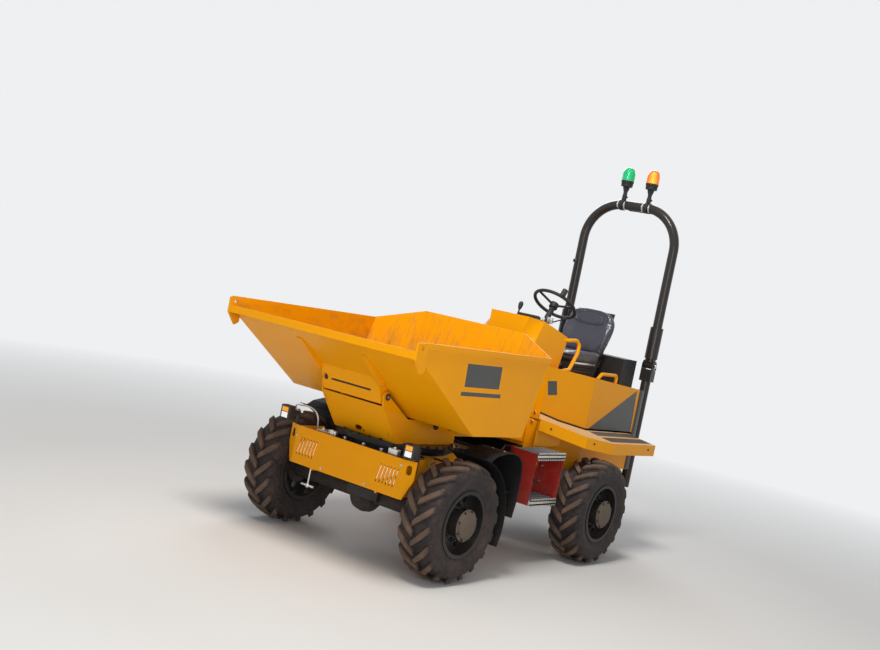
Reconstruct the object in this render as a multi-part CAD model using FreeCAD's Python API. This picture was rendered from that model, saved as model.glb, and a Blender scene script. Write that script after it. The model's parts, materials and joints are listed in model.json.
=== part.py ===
import FreeCAD, Part
import os
from math import asin, atan2, cos, hypot, pi, radians, sin, sqrt, tan

# Site dumper with a swivelling front-tip skip and articulated steering.
# Millimetres. X forward, Y to the machine's left, Z up, origin on the ground
# under the middle of the machine's length.

V = FreeCAD.Vector
X_AXIS = V(1, 0, 0)
Y_AXIS = V(0, 1, 0)
Z_AXIS = V(0, 0, 1)

# Fits and clearances
pin_fit = 0.3
pin_end = 3.5
clamp_fit = 0.8
soft_gap = 0.3
run_gap = 6.0
past_all = 4000.0

# Stations along the machine
pivot_x = 150.0
front_axle_x = pivot_x + 850.0
rear_axle_x = pivot_x - 890.0
turntable_x = pivot_x + 680.0
well_front_x = pivot_x - 765.0
well_rear_x = well_front_x - 355.0
seat_x = well_rear_x - 115.0
rear_box_x = seat_x - 350.0
rear_box_depth = 227.0
rear_box_margin = 20.0
body_rear_x = rear_box_x - rear_box_depth - rear_box_margin

# Wheels
wheel_radius = 380.0
tyre_width = 260.0
tyre_facets = 16
lug_count = 18
lug_width = 34.0
lug_lean = 42.0
lug_height = 30.0
track_half = 670.0
rim_flange_radius = 212.5
rim_seat_radius = 196.0
rim_width = 232.0
rim_wall = 7.0
rim_disc_offset = 28.0
rim_disc_thickness = 12.0
hub_radius = 84.0
hub_reach = 145.0
spindle_radius = 36.0
wheel_window_radius = 22.0
wheel_window_circle = 152.0
wheel_windows = 8

# Axles
axle_tube_radius = 62.0
diff_radius = 135.0
diff_width = 170.0
hub_drum_radius = 105.0
hub_drum_length = 70.0
axle_pad_half = 55.0
axle_pad_width = 50.0

# Front chassis
chassis_low_z = wheel_radius + 70.0
chassis_top_z = chassis_low_z + 240.0
deck_thickness = 12.0
side_plate_y = 280.0
side_plate = 14.0
nose_x = pivot_x + 1135.0
nose_plate = 8.0
nose_half = 436.0
nose_flat_half = 452.0
nose_wing_half = 529.0
nose_wing_sweep = 30.0
nose_wing_low = 52.0
nose_wing_rise = 128.0
nose_top_z = chassis_top_z + 16.0
nose_low_z = chassis_low_z + 12.0
nose_return = 235.0
nose_hole_radius = 17.0
nose_hole_length = 26.0
chassis_tail_x = pivot_x + 262.0
trunnion_z = wheel_radius + 160.0
trunnion_radius = 46.0
trunnion_housing_radius = 78.0
trunnion_housing_length = 120.0
headlamp_y = 342.0
headlamp_z = chassis_low_z + 130.0
headlamp_radius = 52.0
headlamp_depth = 60.0
louvre_count = 6
louvre_width = 10.0
louvre_height = 118.0
louvre_pitch = 27.0
louvre_lean = 12.0
side_lamp_y = 524.0
side_lamp_x = nose_x + 42.0
side_lamp_z = nose_top_z + 68.0
side_lamp_width = 78.0
side_lamp_height = 92.0
side_lamp_depth = 50.0
lamp_post_y = 500.0
lamp_post = 12.0
mudguard_gap = 34.0
mudguard_sheet = 4.0
mudguard_inner_y = 470.0
mudguard_outer_y = 800.0

# Turntable and swivel frame
ring_radius = 400.0
ring_bore_radius = 150.0
ring_low_z = chassis_top_z + deck_thickness
ring_base_height = 24.0
ring_height = 30.0
swivel_plate = 18.0
swivel_cheek_y = 262.0
swivel_cheek = 14.0
hinge_x = turntable_x + 500.0
hinge_z = ring_low_z + 348.0
hinge_pin_radius = 18.0
hinge_eye_radius = 32.0
apron_top_x = hinge_x + 14.0
apron_top_z = hinge_z - 62.0
apron_low_x = hinge_x - 178.0
apron_hole_y = -30.0
apron_hole_radius = 42.0
apron_slot_y = 222.0
apron_slot_radius = 6.0
swivel_tail_x = turntable_x - 290.0

# Skip
skip_wall = 6.0
skip_half = 762.0
skip_floor_z = hinge_z - 123.0
skip_front_x = turntable_x + 240.0
skip_front_slope = 0.647
skip_rear_side_x = turntable_x - 310.0
skip_rear_mid_x = turntable_x - 425.0
skip_rear_mid_half = 430.0
skip_rear_slope = 0.317
skip_rim_z = skip_floor_z + 529.0
skip_guard_z = skip_rim_z + 117.0
lip_x = skip_front_x + 720.0
lip_top_z = skip_rim_z - 56.0
lip_height = 46.0
lip_plate = 10.0
lip_run = 420.0
rim_bar = 10.0
rim_bar_height = 38.0
eye_hole_radius = 13.0
box_hole_y = -212.0
box_hole_radius = 20.0
box_slot_half = 165.0
box_slot_height = 13.0

# Tipping and steering cylinders
tip_base_x = turntable_x + 280.0
tip_base_z = ring_low_z + 106.0
tip_eye_x = turntable_x - 230.0
tip_eye_z = skip_floor_z - 34.0
tip_barrel_radius = 36.0
tip_rod_radius = 20.0
tip_barrel_length = 432.0
cylinder_eye_radius = 30.0
cylinder_pin_radius = 14.0
cylinder_eye_width = 44.0
cylinder_rod_start = 50.0
steer_arm_x = pivot_x + 20.0
steer_arm_y = -150.0
steer_base_x = pivot_x - 480.0
steer_base_y = -172.0
steer_z = trunnion_z
steer_barrel_radius = 30.0
steer_rod_radius = 16.0
steer_barrel_length = 330.0
steer_stroke = 84.0

# Articulation
pivot_pin_radius = 27.0
pivot_barrel_radius = 58.0
pivot_ear_radius = 74.0
pivot_ear = 26.0
pivot_ear_low_z = trunnion_z - 120.0
pivot_ear_high_z = trunnion_z + 120.0

# Rear chassis
frame_half = 270.0
frame_plate = 14.0
frame_low_z = wheel_radius + 72.0
frame_top_z = frame_low_z + 308.0
frame_front_x = pivot_x - 190.0
frame_rear_x = body_rear_x - 58.0
hitch_z = frame_low_z + 68.0
hitch_pin_radius = 12.5
hitch_gap = 60.0
hitch_length = 50.0
hitch_width = 76.0
hitch_root_width = 160.0
hitch_plate = 14.0

# Engine block
engine_front_x = well_rear_x - 30.0
engine_rear_x = body_rear_x + 122.0
engine_half = 215.0
engine_low_z = frame_low_z + 108.0
engine_top_z = engine_low_z + 620.0

# Rear body
body_sheet = 5.0
body_front_x = pivot_x - 470.0
body_bend_x = pivot_x - 1000.0
body_front_half = 352.0
body_rear_half = 450.0
body_low_z = frame_low_z + 168.0
sill_front_z = body_low_z + 742.0
sill_rear_z = sill_front_z - 100.0
well_half = 310.0
well_floor_z = frame_top_z + 205.0
grille_slots = 7
grille_pitch = 62.0
grille_slot = 40.0
grille_low_z = body_low_z + 240.0
grille_top_z = grille_low_z + 260.0
board_front_x = pivot_x - 300.0
board_mid_x = pivot_x - 660.0
board_wide_x = pivot_x - 980.0
board_rear_x = body_rear_x + 30.0
board_corner_x = board_rear_x + 112.0
board_front_outer = 475.0
board_mid_outer = 670.0
board_outer = 722.0
board_corner_outer = board_outer - 11.0
board_rear_z = 2 * wheel_radius + 112.0
board_wide_z = board_rear_z + 13.0
board_mid_z = board_rear_z + 46.0
board_front_z = board_rear_z + 128.0
board_skirt = 82.0
hip_y = 455.0
hip_low_z = board_rear_z - 72.0

# Console sections from the foot up: height, nose x and half width, side x and half
# width, rear x and half width
console_foot_z = frame_top_z + 30.0
console_crown_z = sill_front_z + 338.0
console_sections = (
    (console_foot_z, pivot_x - 364.0, 112.0, pivot_x - 450.0, 268.0, well_front_x + 30.0, 268.0),
    (sill_front_z - 2.0, pivot_x - 364.0, 112.0, pivot_x - 440.0, 268.0, well_front_x + 23.0, 266.0),
    (sill_front_z + 138.0, pivot_x - 335.0, 140.0, pivot_x - 372.0, 248.0, well_front_x - 27.0, 258.0),
    (console_crown_z, pivot_x - 372.0, 170.0, pivot_x - 536.0, 214.0, well_front_x - 97.0, 246.0),
)
console_brow_x = pivot_x - 508.0
console_brow_z = console_crown_z - 34.0
console_corner_radius = 20.0

# Grab handles
handle_radius = 14.0
handle_bend = 40.0
sill_handle_radius = 13.0
sill_handle_bend = 26.0
sill_handle_front_x = seat_x + 170.0
sill_handle_rear_x = seat_x - 123.0
sill_handle_z = sill_front_z - 5.0
sill_handle_y = body_rear_half - 22.0

# Steps
step_front_x = pivot_x - 55.0
step_rear_x = pivot_x - 418.0
step_inner_y = 470.0
step_outer_y = 655.0
step_low_z = wheel_radius + 88.0
step_high_z = step_low_z + 322.0
step_lip = 34.0
step_sheet = 4.0
step_holes = 5
step_hole_radius = 22.0
step_hole_pitch = 70.0

# Seat
seat_width = 480.0
seat_depth = 430.0
seat_cushion_z = sill_front_z + 43.0
seat_cushion_height = 92.0
seat_back_x = seat_x - seat_depth / 2 - soft_gap
seat_back_height = 400.0
seat_back_depth = 84.0
seat_back_lean = 12.0
seat_back_lift = 40.0
seat_base_half = 190.0

# Rear lamps
rear_lamp_y = 300.0
rear_lamp_z = grille_top_z + 60.0

# Box behind the seat
rear_box_z = sill_rear_z + 223.0
rear_box_half = 340.0

# Roll-over hoop
hoop_radius = 38.0
hoop_half = body_rear_half - 29.0
hoop_x = body_rear_x - hoop_radius - 10.0
hoop_corner = 318.0
hoop_hinge_z = sill_rear_z + 208.0
hoop_top_z = hoop_hinge_z + 1252.0
hoop_pin_radius = 12.0
hoop_sleeve = 52.0
hoop_sleeve_top_z = hoop_hinge_z + 310.0
knuckle_radius = 26.0
post_low_z = frame_low_z + 18.0
hoop_cheek_gap = 40.0
hoop_cheek = 8.0
hoop_cheek_half = 36.0
strut_top_z = hoop_hinge_z + 725.0
strut_low_z = hoop_hinge_z - 140.0
strut_x = hoop_x + 78.0
strut_y = -hoop_half + 14.0
strut_barrel_radius = 13.0
strut_rod_radius = 6.0
strut_barrel_length = 480.0
strut_eye_radius = 13.0
strut_eye_width = 14.0
strut_pin_radius = 5.0
strut_rod_start = 223.0
strut_plate = 6.0
beacon_green_y = -118.0
beacon_amber_y = 110.0
beacon_stem_radius = 12.0
beacon_base_radius = 46.0
beacon_lens_radius = 52.0
beacon_lens_height = 118.0
beacon_lens_z = hoop_top_z + 196.0

# Steering wheel
wheel_hub_x = pivot_x - 940.0
wheel_hub_z = console_crown_z + 92.0
wheel_ring_radius = 168.0
wheel_tube_radius = 13.0
wheel_knob_turn = 138.0
column_lean = 32.0
column_radius = 22.0
column_length = 420.0


# Basic shapes
def box(x0, x1, y0, y1, z0, z1):
    return Part.makeBox(x1 - x0, y1 - y0, z1 - z0, V(x0, y0, z0))


def rod(start, axis, radius, length):
    return Part.makeCylinder(radius, length, start, axis)


def bar(a, b, radius):
    return Part.makeCylinder(radius, (b - a).Length, a, b - a)


def prism(points, axis, low, high):
    """A polygon extruded along axis: (x, z) pairs along y, (y, z) along x, (x, y) along z."""
    if axis == "y":
        corners = [V(a, low, b) for a, b in points]
        run = V(0, high - low, 0)
    elif axis == "x":
        corners = [V(low, a, b) for a, b in points]
        run = V(high - low, 0, 0)
    else:
        corners = [V(a, b, low) for a, b in points]
        run = V(0, 0, high - low)
    return Part.Face(Part.makePolygon(corners + corners[:1])).extrude(run)


def loft(sections):
    wires = [Part.makePolygon(s + s[:1]) for s in sections]
    return Part.makeLoft(wires, True, True)


def revolve(points, centre, axis):
    """A closed outline of (along, radius) pairs turned about axis through centre."""
    side = Z_AXIS if axis.cross(Z_AXIS).Length > 0.5 else X_AXIS
    corners = [centre + axis * a + side * r for a, r in points]
    face = Part.Face(Part.makePolygon(corners + corners[:1]))
    return face.revolve(centre, axis, 360)


def fuse(shapes):
    out = shapes[0]
    for s in shapes[1:]:
        out = out.fuse(s)
    return out.removeSplitter()


def cut(shape, tools):
    for t in tools:
        shape = shape.cut(t)
    return shape


def mirrored(shape):
    return shape.mirror(V(0, 0, 0), Y_AXIS)


def pair(shape):
    """A piece and its mirror image on the other side, as two solids."""
    return Part.makeCompound([shape, mirrored(shape)])


def bent_tube(points, radius, bend):
    """A round bar along straight runs joined by tangent arcs of one bend radius."""
    edges = []
    start = points[0]
    for before, corner, after in zip(points, points[1:], points[2:]):
        to_before = (before - corner).normalize()
        to_after = (after - corner).normalize()
        half = to_before.getAngle(to_after) / 2
        reach = bend * cos(half) / sin(half)
        inward = (to_before + to_after).normalize()
        middle = corner + inward * (bend / sin(half) - bend)
        a = corner + to_before * reach
        b = corner + to_after * reach
        if (a - start).Length > 0.01:
            edges.append(Part.makeLine(start, a))
        edges.append(Part.Arc(a, middle, b).toShape())
        start = b
    edges.append(Part.makeLine(start, points[-1]))
    path = Part.Wire(edges)
    ring = Part.Wire(Part.makeCircle(radius, points[0], points[1] - points[0]))
    return path.makePipeShell([ring], True, True)


# Wheels: axis along Y, outer side towards +Y or -Y
def tyre(axle_x, side):
    """Flat-faceted carcass with two rows of slanted lugs, half a pitch apart."""
    half = tyre_width / 2
    centre = V(axle_x, side * track_half, wheel_radius)
    bead = rim_width / 2 - rim_wall - pin_fit
    apothem = cos(pi / tyre_facets)
    seat = (rim_seat_radius + pin_fit) / apothem
    flange = (rim_flange_radius + pin_fit) / apothem
    groove = wheel_radius - lug_height
    outline = [
        (-bead, seat),
        (-bead, flange),
        (-half, wheel_radius * 0.74),
        (-half * 0.955, wheel_radius * 0.87),
        (-half * 0.54, groove),
        (half * 0.54, groove),
        (half * 0.955, wheel_radius * 0.87),
        (half, wheel_radius * 0.74),
        (bead, flange),
        (bead, seat),
    ]
    facets = []
    for near, far in zip(outline, outline[1:] + outline[:1]):
        for i in range(tyre_facets):
            ends = (2 * pi * i / tyre_facets, 2 * pi * (i + 1) / tyre_facets)
            corners = [centre + V(cos(a) * near[1], near[0], sin(a) * near[1]) for a in ends]
            corners += [centre + V(cos(a) * far[1], far[0], sin(a) * far[1]) for a in ends[::-1]]
            facets.append(Part.Face(Part.makePolygon(corners + corners[:1])))
    carcass = Part.makeSolid(Part.makeShell(facets))
    # A lug's side view: distance from the middle of the tread, distance from the axle
    profile = (
        (3, groove - 8),
        (3, wheel_radius),
        (half * 0.75, wheel_radius - 2),
        (half * 0.99, groove),
        (half * 0.94, wheel_radius * 0.837),
    )
    middle = half * 0.48

    def lug_point(across, radius):
        shift = (across - middle) * tan(radians(lug_lean))
        height = sqrt(radius ** 2 - (abs(shift) + lug_width / 2) ** 2)
        return shift - lug_width / 2, height

    shift, height = lug_point(*profile[1])
    first = -pi / 2 - atan2(shift, height)
    lugs = []
    for i in range(2 * lug_count):
        a = first + pi * i / lug_count
        out = V(cos(a), 0, sin(a))
        along = V(-sin(a), 0, cos(a))
        row = 1 if i % 2 else -1
        corners = []
        for across, radius in profile:
            shift, height = lug_point(across, radius)
            corners.append(centre + out * height + along * shift + Y_AXIS * row * across)
        face = Part.Face(Part.makePolygon(corners + corners[:1]))
        lugs.append(face.extrude(along * lug_width))
    return carcass.multiFuse(lugs).removeSplitter()


def rim(axle_x, side):
    centre = V(axle_x, side * track_half, wheel_radius)
    out = Y_AXIS * side
    edge = rim_width / 2
    seat = rim_seat_radius
    barrel = revolve(
        [
            (-edge, rim_flange_radius),
            (-edge + rim_wall, rim_flange_radius),
            (-edge + rim_wall, seat),
            (edge - rim_wall, seat),
            (edge - rim_wall, rim_flange_radius),
            (edge, rim_flange_radius),
            (edge, seat - rim_wall),
            (-edge, seat - rim_wall),
        ],
        centre,
        out,
    )
    disc_low = rim_disc_offset
    disc = rod(centre + out * disc_low, out, seat - rim_wall + 1, rim_disc_thickness)
    hub = rod(centre + out * disc_low, out, hub_radius, hub_reach - disc_low)
    bore = rod(centre, out, spindle_radius + pin_fit, hub_reach - 22)
    windows = []
    for i in range(wheel_windows):
        a = 2 * pi * (i + 0.5) / wheel_windows
        spot = centre + V(cos(a), 0, sin(a)) * wheel_window_circle
        windows.append(rod(spot, out, wheel_window_radius, hub_reach))
    return cut(fuse([barrel, disc, hub]), [bore] + windows)


# Axles
def axle(axle_x, input_side, pad_y, pad_top):
    centre = V(axle_x, 0, wheel_radius)
    drum_end = track_half + rim_disc_offset - run_gap
    tube = rod(centre - Y_AXIS * drum_end, Y_AXIS, axle_tube_radius, 2 * drum_end)
    bowl = revolve(
        [
            (-diff_width / 2, 0),
            (-diff_width / 2, diff_radius * 0.62),
            (-diff_width / 4, diff_radius * 0.94),
            (0, diff_radius),
            (diff_width / 4, diff_radius * 0.94),
            (diff_width / 2, diff_radius * 0.62),
            (diff_width / 2, 0),
        ],
        centre,
        Y_AXIS,
    )
    nose = rod(centre, X_AXIS * input_side, diff_radius * 0.5, diff_radius + 70)
    parts = [tube, bowl, nose]
    for side in (-1, 1):
        drum = rod(
            centre + Y_AXIS * side * (drum_end - hub_drum_length),
            Y_AXIS * side,
            hub_drum_radius,
            hub_drum_length,
        )
        spindle = rod(
            centre + Y_AXIS * side * drum_end,
            Y_AXIS * side,
            spindle_radius,
            hub_reach - rim_disc_offset + run_gap - 28,
        )
        pad_low = wheel_radius - axle_tube_radius * 0.6
        pad = box(
            axle_x - axle_pad_half,
            axle_x + axle_pad_half,
            side * pad_y - axle_pad_width / 2,
            side * pad_y + axle_pad_width / 2,
            pad_low,
            pad_top,
        )
        parts += [drum, spindle, pad]
    return fuse(parts)


# Front chassis
def louvres():
    """Slanted slots in front of each headlamp."""
    slots = []
    for side in (-1, 1):
        for i in range(louvre_count):
            y = side * headlamp_y + (i - (louvre_count - 1) / 2) * louvre_pitch
            low = headlamp_z - louvre_height / 2
            high = headlamp_z + louvre_height / 2
            outline = [
                (y - louvre_width / 2 - louvre_lean, low),
                (y + louvre_width / 2 - louvre_lean, low),
                (y + louvre_width / 2 + louvre_lean, high),
                (y - louvre_width / 2 + louvre_lean, high),
            ]
            slots.append(prism(outline, "x", nose_x - 2 * nose_plate, nose_x + nose_plate))
    return slots


def nose():
    """Front plate with swept wings, their lower corners cut back beside the tyres."""
    back = nose_x - nose_plate
    plan = [
        (nose_x, -nose_flat_half),
        (nose_x, nose_flat_half),
        (nose_x - nose_wing_sweep, nose_wing_half),
        (back - nose_wing_sweep, nose_wing_half),
        (back, nose_flat_half),
        (back, -nose_flat_half),
        (back - nose_wing_sweep, -nose_wing_half),
        (nose_x - nose_wing_sweep, -nose_wing_half),
    ]
    front = [
        (-nose_wing_half, nose_top_z),
        (-nose_wing_half, nose_low_z + nose_wing_rise),
        (-nose_wing_half + nose_wing_low, nose_low_z),
        (nose_wing_half - nose_wing_low, nose_low_z),
        (nose_wing_half, nose_low_z + nose_wing_rise),
        (nose_wing_half, nose_top_z),
    ]
    plate = prism(plan, "z", nose_low_z, nose_top_z)
    return plate.common(prism(front, "x", back - 2 * nose_wing_sweep, nose_x + nose_plate))


def wing_hole(side):
    """Upright slot through one wing of the nose."""
    y = side * (nose_flat_half + nose_wing_half) / 2
    start = nose_x - 2 * nose_wing_sweep
    middle_z = (nose_low_z + nose_wing_rise + nose_top_z) / 2
    ends = []
    for z in (middle_z - nose_hole_length / 2, middle_z + nose_hole_length / 2):
        ends.append(rod(V(start, y, z), X_AXIS, nose_hole_radius, 3 * nose_wing_sweep))
    middle = box(start, start + 3 * nose_wing_sweep, y - nose_hole_radius, y + nose_hole_radius,
                 middle_z - nose_hole_length / 2, middle_z + nose_hole_length / 2)
    return fuse(ends + [middle])


def front_chassis():
    inner_y = side_plate_y - side_plate
    side_outline = [
        (chassis_tail_x, trunnion_z - trunnion_housing_radius),
        (chassis_tail_x + 150, chassis_low_z),
        (nose_x - nose_plate, chassis_low_z),
        (nose_x - nose_plate, chassis_top_z),
        (chassis_tail_x, chassis_top_z),
    ]
    parts = [
        prism(side_outline, "y", inner_y, side_plate_y),
        prism(side_outline, "y", -side_plate_y, -inner_y),
        box(chassis_tail_x, nose_x - nose_plate, -side_plate_y, side_plate_y,
            chassis_top_z, chassis_top_z + deck_thickness),
        box(chassis_tail_x, chassis_tail_x + side_plate, -side_plate_y, side_plate_y,
            trunnion_z - trunnion_housing_radius, chassis_top_z),
        nose(),
    ]
    for side in (-1, 1):
        back_x = nose_x - nose_return
        y = side * nose_half
        flange = prism(
            [
                (nose_x - nose_plate, nose_low_z),
                (nose_x - nose_plate, nose_top_z),
                (back_x, nose_top_z),
                (back_x, nose_low_z + 90),
                (back_x + 90, nose_low_z),
            ],
            "y",
            min(y, y - side * nose_plate),
            max(y, y - side * nose_plate),
        )
        web = box(
            back_x,
            back_x + nose_plate,
            min(side * side_plate_y, y),
            max(side * side_plate_y, y),
            nose_low_z + 90,
            chassis_top_z,
        )
        parts += [flange, web]
    housing = rod(
        V(chassis_tail_x, 0, trunnion_z), X_AXIS, trunnion_housing_radius,
        trunnion_housing_length,
    )
    parts.append(housing)
    body = fuse(parts)
    bore = rod(
        V(chassis_tail_x - 1, 0, trunnion_z), X_AXIS, trunnion_radius + pin_fit,
        trunnion_housing_length + 2,
    )
    centre_hole = rod(
        V(turntable_x, 0, chassis_top_z - 1), Z_AXIS, ring_bore_radius,
        deck_thickness + 2,
    )
    wing_holes = [wing_hole(side) for side in (-1, 1)]
    return cut(body, [bore, centre_hole] + wing_holes + louvres())


def ring_base():
    base = rod(V(turntable_x, 0, ring_low_z), Z_AXIS, ring_radius * 0.9, ring_base_height)
    hole = rod(V(turntable_x, 0, ring_low_z - 1), Z_AXIS, ring_bore_radius, ring_base_height + 2)
    return base.cut(hole)


def headlamps():
    start = nose_x - nose_plate - headlamp_depth - 2
    lamp = rod(V(start, headlamp_y, headlamp_z), X_AXIS, headlamp_radius, headlamp_depth)
    stalk = box(
        start + 10, start + 30, side_plate_y, headlamp_y, headlamp_z - 12, headlamp_z + 12
    )
    return pair(fuse([lamp, stalk]))


def side_lamps():
    """Lamps held over the nose's wings by a post behind each wing."""
    x0 = side_lamp_x - side_lamp_depth / 2
    x1 = side_lamp_x + side_lamp_depth / 2
    z0 = side_lamp_z - side_lamp_height / 2
    body = box(x0, x1, side_lamp_y - side_lamp_width / 2, side_lamp_y + side_lamp_width / 2,
               z0, z0 + side_lamp_height)
    post_x = nose_x - nose_plate - nose_wing_sweep - lamp_post - run_gap
    post_side = lamp_post_y + 2 * lamp_post
    post = box(post_x, post_x + lamp_post, lamp_post_y, post_side,
               nose_top_z - 70, z0 + 60)
    arm = box(post_x, x0 + 6, lamp_post_y, lamp_post_y + lamp_post, z0 + 36, z0 + 60)
    foot = box(post_x, nose_x, lamp_post_y, post_side, nose_top_z - 66, nose_top_z - 30)
    behind_nose = foot.cut(nose().fuse(wing_hole(1))).Solids
    foot = min(behind_nose, key=lambda s: s.BoundBox.XMin)
    return pair(fuse([body, arm, post, foot]))


def mudguards():
    """Rolled sheets behind and over the front tyres."""
    r_in = wheel_radius + mudguard_gap
    centre = V(front_axle_x, 0, wheel_radius)
    ring = Part.makeCylinder(r_in + mudguard_sheet, mudguard_outer_y - mudguard_inner_y,
                             centre + Y_AXIS * mudguard_inner_y, Y_AXIS)
    hollow = Part.makeCylinder(r_in, mudguard_outer_y, centre + Y_AXIS * (mudguard_inner_y - 1), Y_AXIS)
    far = 2 * r_in
    keep = prism(
        [
            (front_axle_x, wheel_radius),
            (front_axle_x - far * cos(radians(22)), wheel_radius - far * sin(radians(22))),
            (front_axle_x - far, wheel_radius + far),
            (front_axle_x - far * cos(radians(80)), wheel_radius + far * sin(radians(80))),
        ],
        "y",
        mudguard_inner_y - 1,
        mudguard_outer_y + 1,
    )
    sheet = ring.cut(hollow).common(keep)
    stay_z = wheel_radius + r_in * sin(radians(50))
    stay_x = front_axle_x - r_in * cos(radians(50))
    stay = box(stay_x - 16, stay_x + 16, side_plate_y, mudguard_inner_y + 60,
               stay_z - 34, stay_z - 28)
    tab = box(stay_x - 16, stay_x + 16, mudguard_inner_y, mudguard_inner_y + 60,
              stay_z - 34, stay_z + 12).common(hollow)
    return pair(fuse([sheet, stay, tab]))


def slew_motor():
    top = chassis_top_z - 2
    body = rod(V(turntable_x - 215, 110, top - 150), Z_AXIS, 52, 150)
    cap = rod(V(turntable_x - 215, 110, top - 196), Z_AXIS, 36, 46)
    plate = box(turntable_x - 285, turntable_x - 145, 40, 180, top - 12, top + 2)
    return fuse([body, cap, plate])


# Articulation link: upright barrel between the rear ears, trunnion into the front chassis
def pivot_link():
    low = pivot_ear_low_z + pivot_ear + pin_fit * 3
    high = pivot_ear_high_z - pin_fit * 3
    barrel = rod(V(pivot_x, 0, low), Z_AXIS, pivot_barrel_radius, high - low)
    trunnion = rod(
        V(pivot_x, 0, trunnion_z), X_AXIS, trunnion_radius,
        chassis_tail_x + trunnion_housing_length + 4 - pivot_x,
    )
    collar = rod(
        V(pivot_x, 0, trunnion_z), X_AXIS, trunnion_housing_radius * 0.9,
        chassis_tail_x - 2 - pivot_x,
    )
    nut = rod(
        V(chassis_tail_x + trunnion_housing_length + 2, 0, trunnion_z), X_AXIS,
        trunnion_radius * 1.35, 24,
    )
    arm = prism(
        [
            (pivot_x + 40, -30),
            (pivot_x - 40, -30),
            (steer_arm_x - 34, steer_arm_y),
            (steer_arm_x + 34, steer_arm_y),
        ],
        "z",
        steer_z - 46,
        steer_z - 26,
    )
    eye = rod(V(steer_arm_x, steer_arm_y, steer_z - 46), Z_AXIS, 34, 20)
    body = fuse([barrel, trunnion, collar, nut, arm, eye])
    bore = rod(V(pivot_x, 0, low - 1), Z_AXIS, pivot_pin_radius + pin_fit, high - low + 2)
    return body.cut(bore)


# Turntable
def slew_ring():
    low = ring_low_z + ring_base_height + 0.5
    ring = rod(V(turntable_x, 0, low), Z_AXIS, ring_radius, ring_height)
    return ring.cut(rod(V(turntable_x, 0, low - 1), Z_AXIS, ring_bore_radius, ring_height + 2))


swivel_low_z = ring_low_z + ring_base_height + 0.5 + ring_height


def swivel_frame():
    base_top = swivel_low_z + swivel_plate
    wall_drop = 12.0
    lean = hypot(1, skip_front_slope)
    under = skip_wall * lean + wall_drop

    def wall_under(x):
        return skip_floor_z + (x - skip_front_x) * skip_front_slope - under

    cheek_outline = [
        (swivel_tail_x, swivel_low_z),
        (apron_low_x, swivel_low_z),
        (apron_top_x + 4, apron_top_z),
        (hinge_x + hinge_eye_radius * 0.8, hinge_z),
        (hinge_x - hinge_eye_radius * 0.9, hinge_z),
        (skip_front_x + 10, wall_under(skip_front_x + 10)),
        (swivel_tail_x, skip_floor_z - 16),
    ]
    inner = swivel_cheek_y - swivel_cheek
    left = prism(cheek_outline, "y", inner, swivel_cheek_y)
    eye = rod(V(hinge_x, inner, hinge_z), Y_AXIS, hinge_eye_radius, swivel_cheek)
    hinge_bore = rod(V(hinge_x, inner - 1, hinge_z), Y_AXIS, hinge_pin_radius + pin_fit,
                     swivel_cheek + 2)
    left = left.fuse(eye).cut(hinge_bore)
    apron = prism(
        [
            (apron_low_x, swivel_low_z),
            (apron_top_x, apron_top_z),
            (apron_top_x - 10, apron_top_z),
            (apron_low_x - 12, swivel_low_z),
        ],
        "y",
        -swivel_cheek_y,
        swivel_cheek_y,
    )
    through = V(apron_top_z - swivel_low_z, 0, apron_low_x - apron_top_x).normalize()
    low_z = base_top + apron_hole_radius * 0.4
    slot_z = base_top + apron_hole_radius
    apron = cut(apron, [
        rod(V(apron_low_x, apron_hole_y, low_z) - through * 40, through, apron_hole_radius, 90)
        .common(box(0, past_all, -swivel_cheek_y, swivel_cheek_y, base_top, hinge_z)),
        rod(V(apron_low_x + 30, apron_slot_y, slot_z) - through * 40, through,
            apron_slot_radius, 90),
    ])
    base = box(swivel_tail_x, apron_low_x, -swivel_cheek_y, swivel_cheek_y,
               swivel_low_z, base_top)
    tail = box(swivel_tail_x, swivel_tail_x + 10, -swivel_cheek_y, swivel_cheek_y,
               base_top, skip_floor_z - 60)
    lug = prism(
        [
            (tip_base_x - 40, base_top),
            (tip_base_x + 40, base_top),
            (tip_base_x + 20, tip_base_z + 24),
            (tip_base_x - 20, tip_base_z + 24),
        ],
        "y",
        cylinder_eye_width / 2 + 2,
        cylinder_eye_width / 2 + 16,
    )
    pin = rod(
        V(tip_base_x, -cylinder_eye_width / 2 - 16, tip_base_z), Y_AXIS,
        cylinder_pin_radius, cylinder_eye_width + 32,
    )
    outriggers = []
    for side in (-1, 1):
        y0 = side * swivel_cheek_y
        y1 = side * (swivel_cheek_y + 190)
        outriggers.append(
            box(swivel_tail_x, swivel_tail_x + 260, min(y0, y1), max(y0, y1),
                skip_floor_z - 70, skip_floor_z - 16)
        )
    return fuse([left, mirrored(left), apron, base, tail, lug, mirrored(lug), pin] + outriggers)


def hinge_pins():
    """Short pins through the swivel frame's eyes into the skip's hinge box."""
    inner = swivel_cheek_y - swivel_cheek
    pin = rod(V(hinge_x, inner - 34, hinge_z), Y_AXIS, hinge_pin_radius, swivel_cheek + 40)
    return pin


# Skip
def skip_plan(z, inset):
    """Corners of the skip's inside or outside at height z, front left first."""
    rise = z - skip_floor_z
    front_x = skip_front_x + rise / skip_front_slope - inset * hypot(1, 1 / skip_front_slope)
    lean = hypot(1, skip_rear_slope)
    side_x = skip_rear_side_x - rise * skip_rear_slope + inset * lean
    mid_x = skip_rear_mid_x - rise * skip_rear_slope + inset * lean
    y = skip_half - inset
    mid_y = skip_rear_mid_half - inset * 0.3
    flat = [(front_x, y), (side_x, y), (mid_x, mid_y), (mid_x, -mid_y), (side_x, -y), (front_x, -y)]
    return [V(a, b, z) for a, b in flat]


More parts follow.
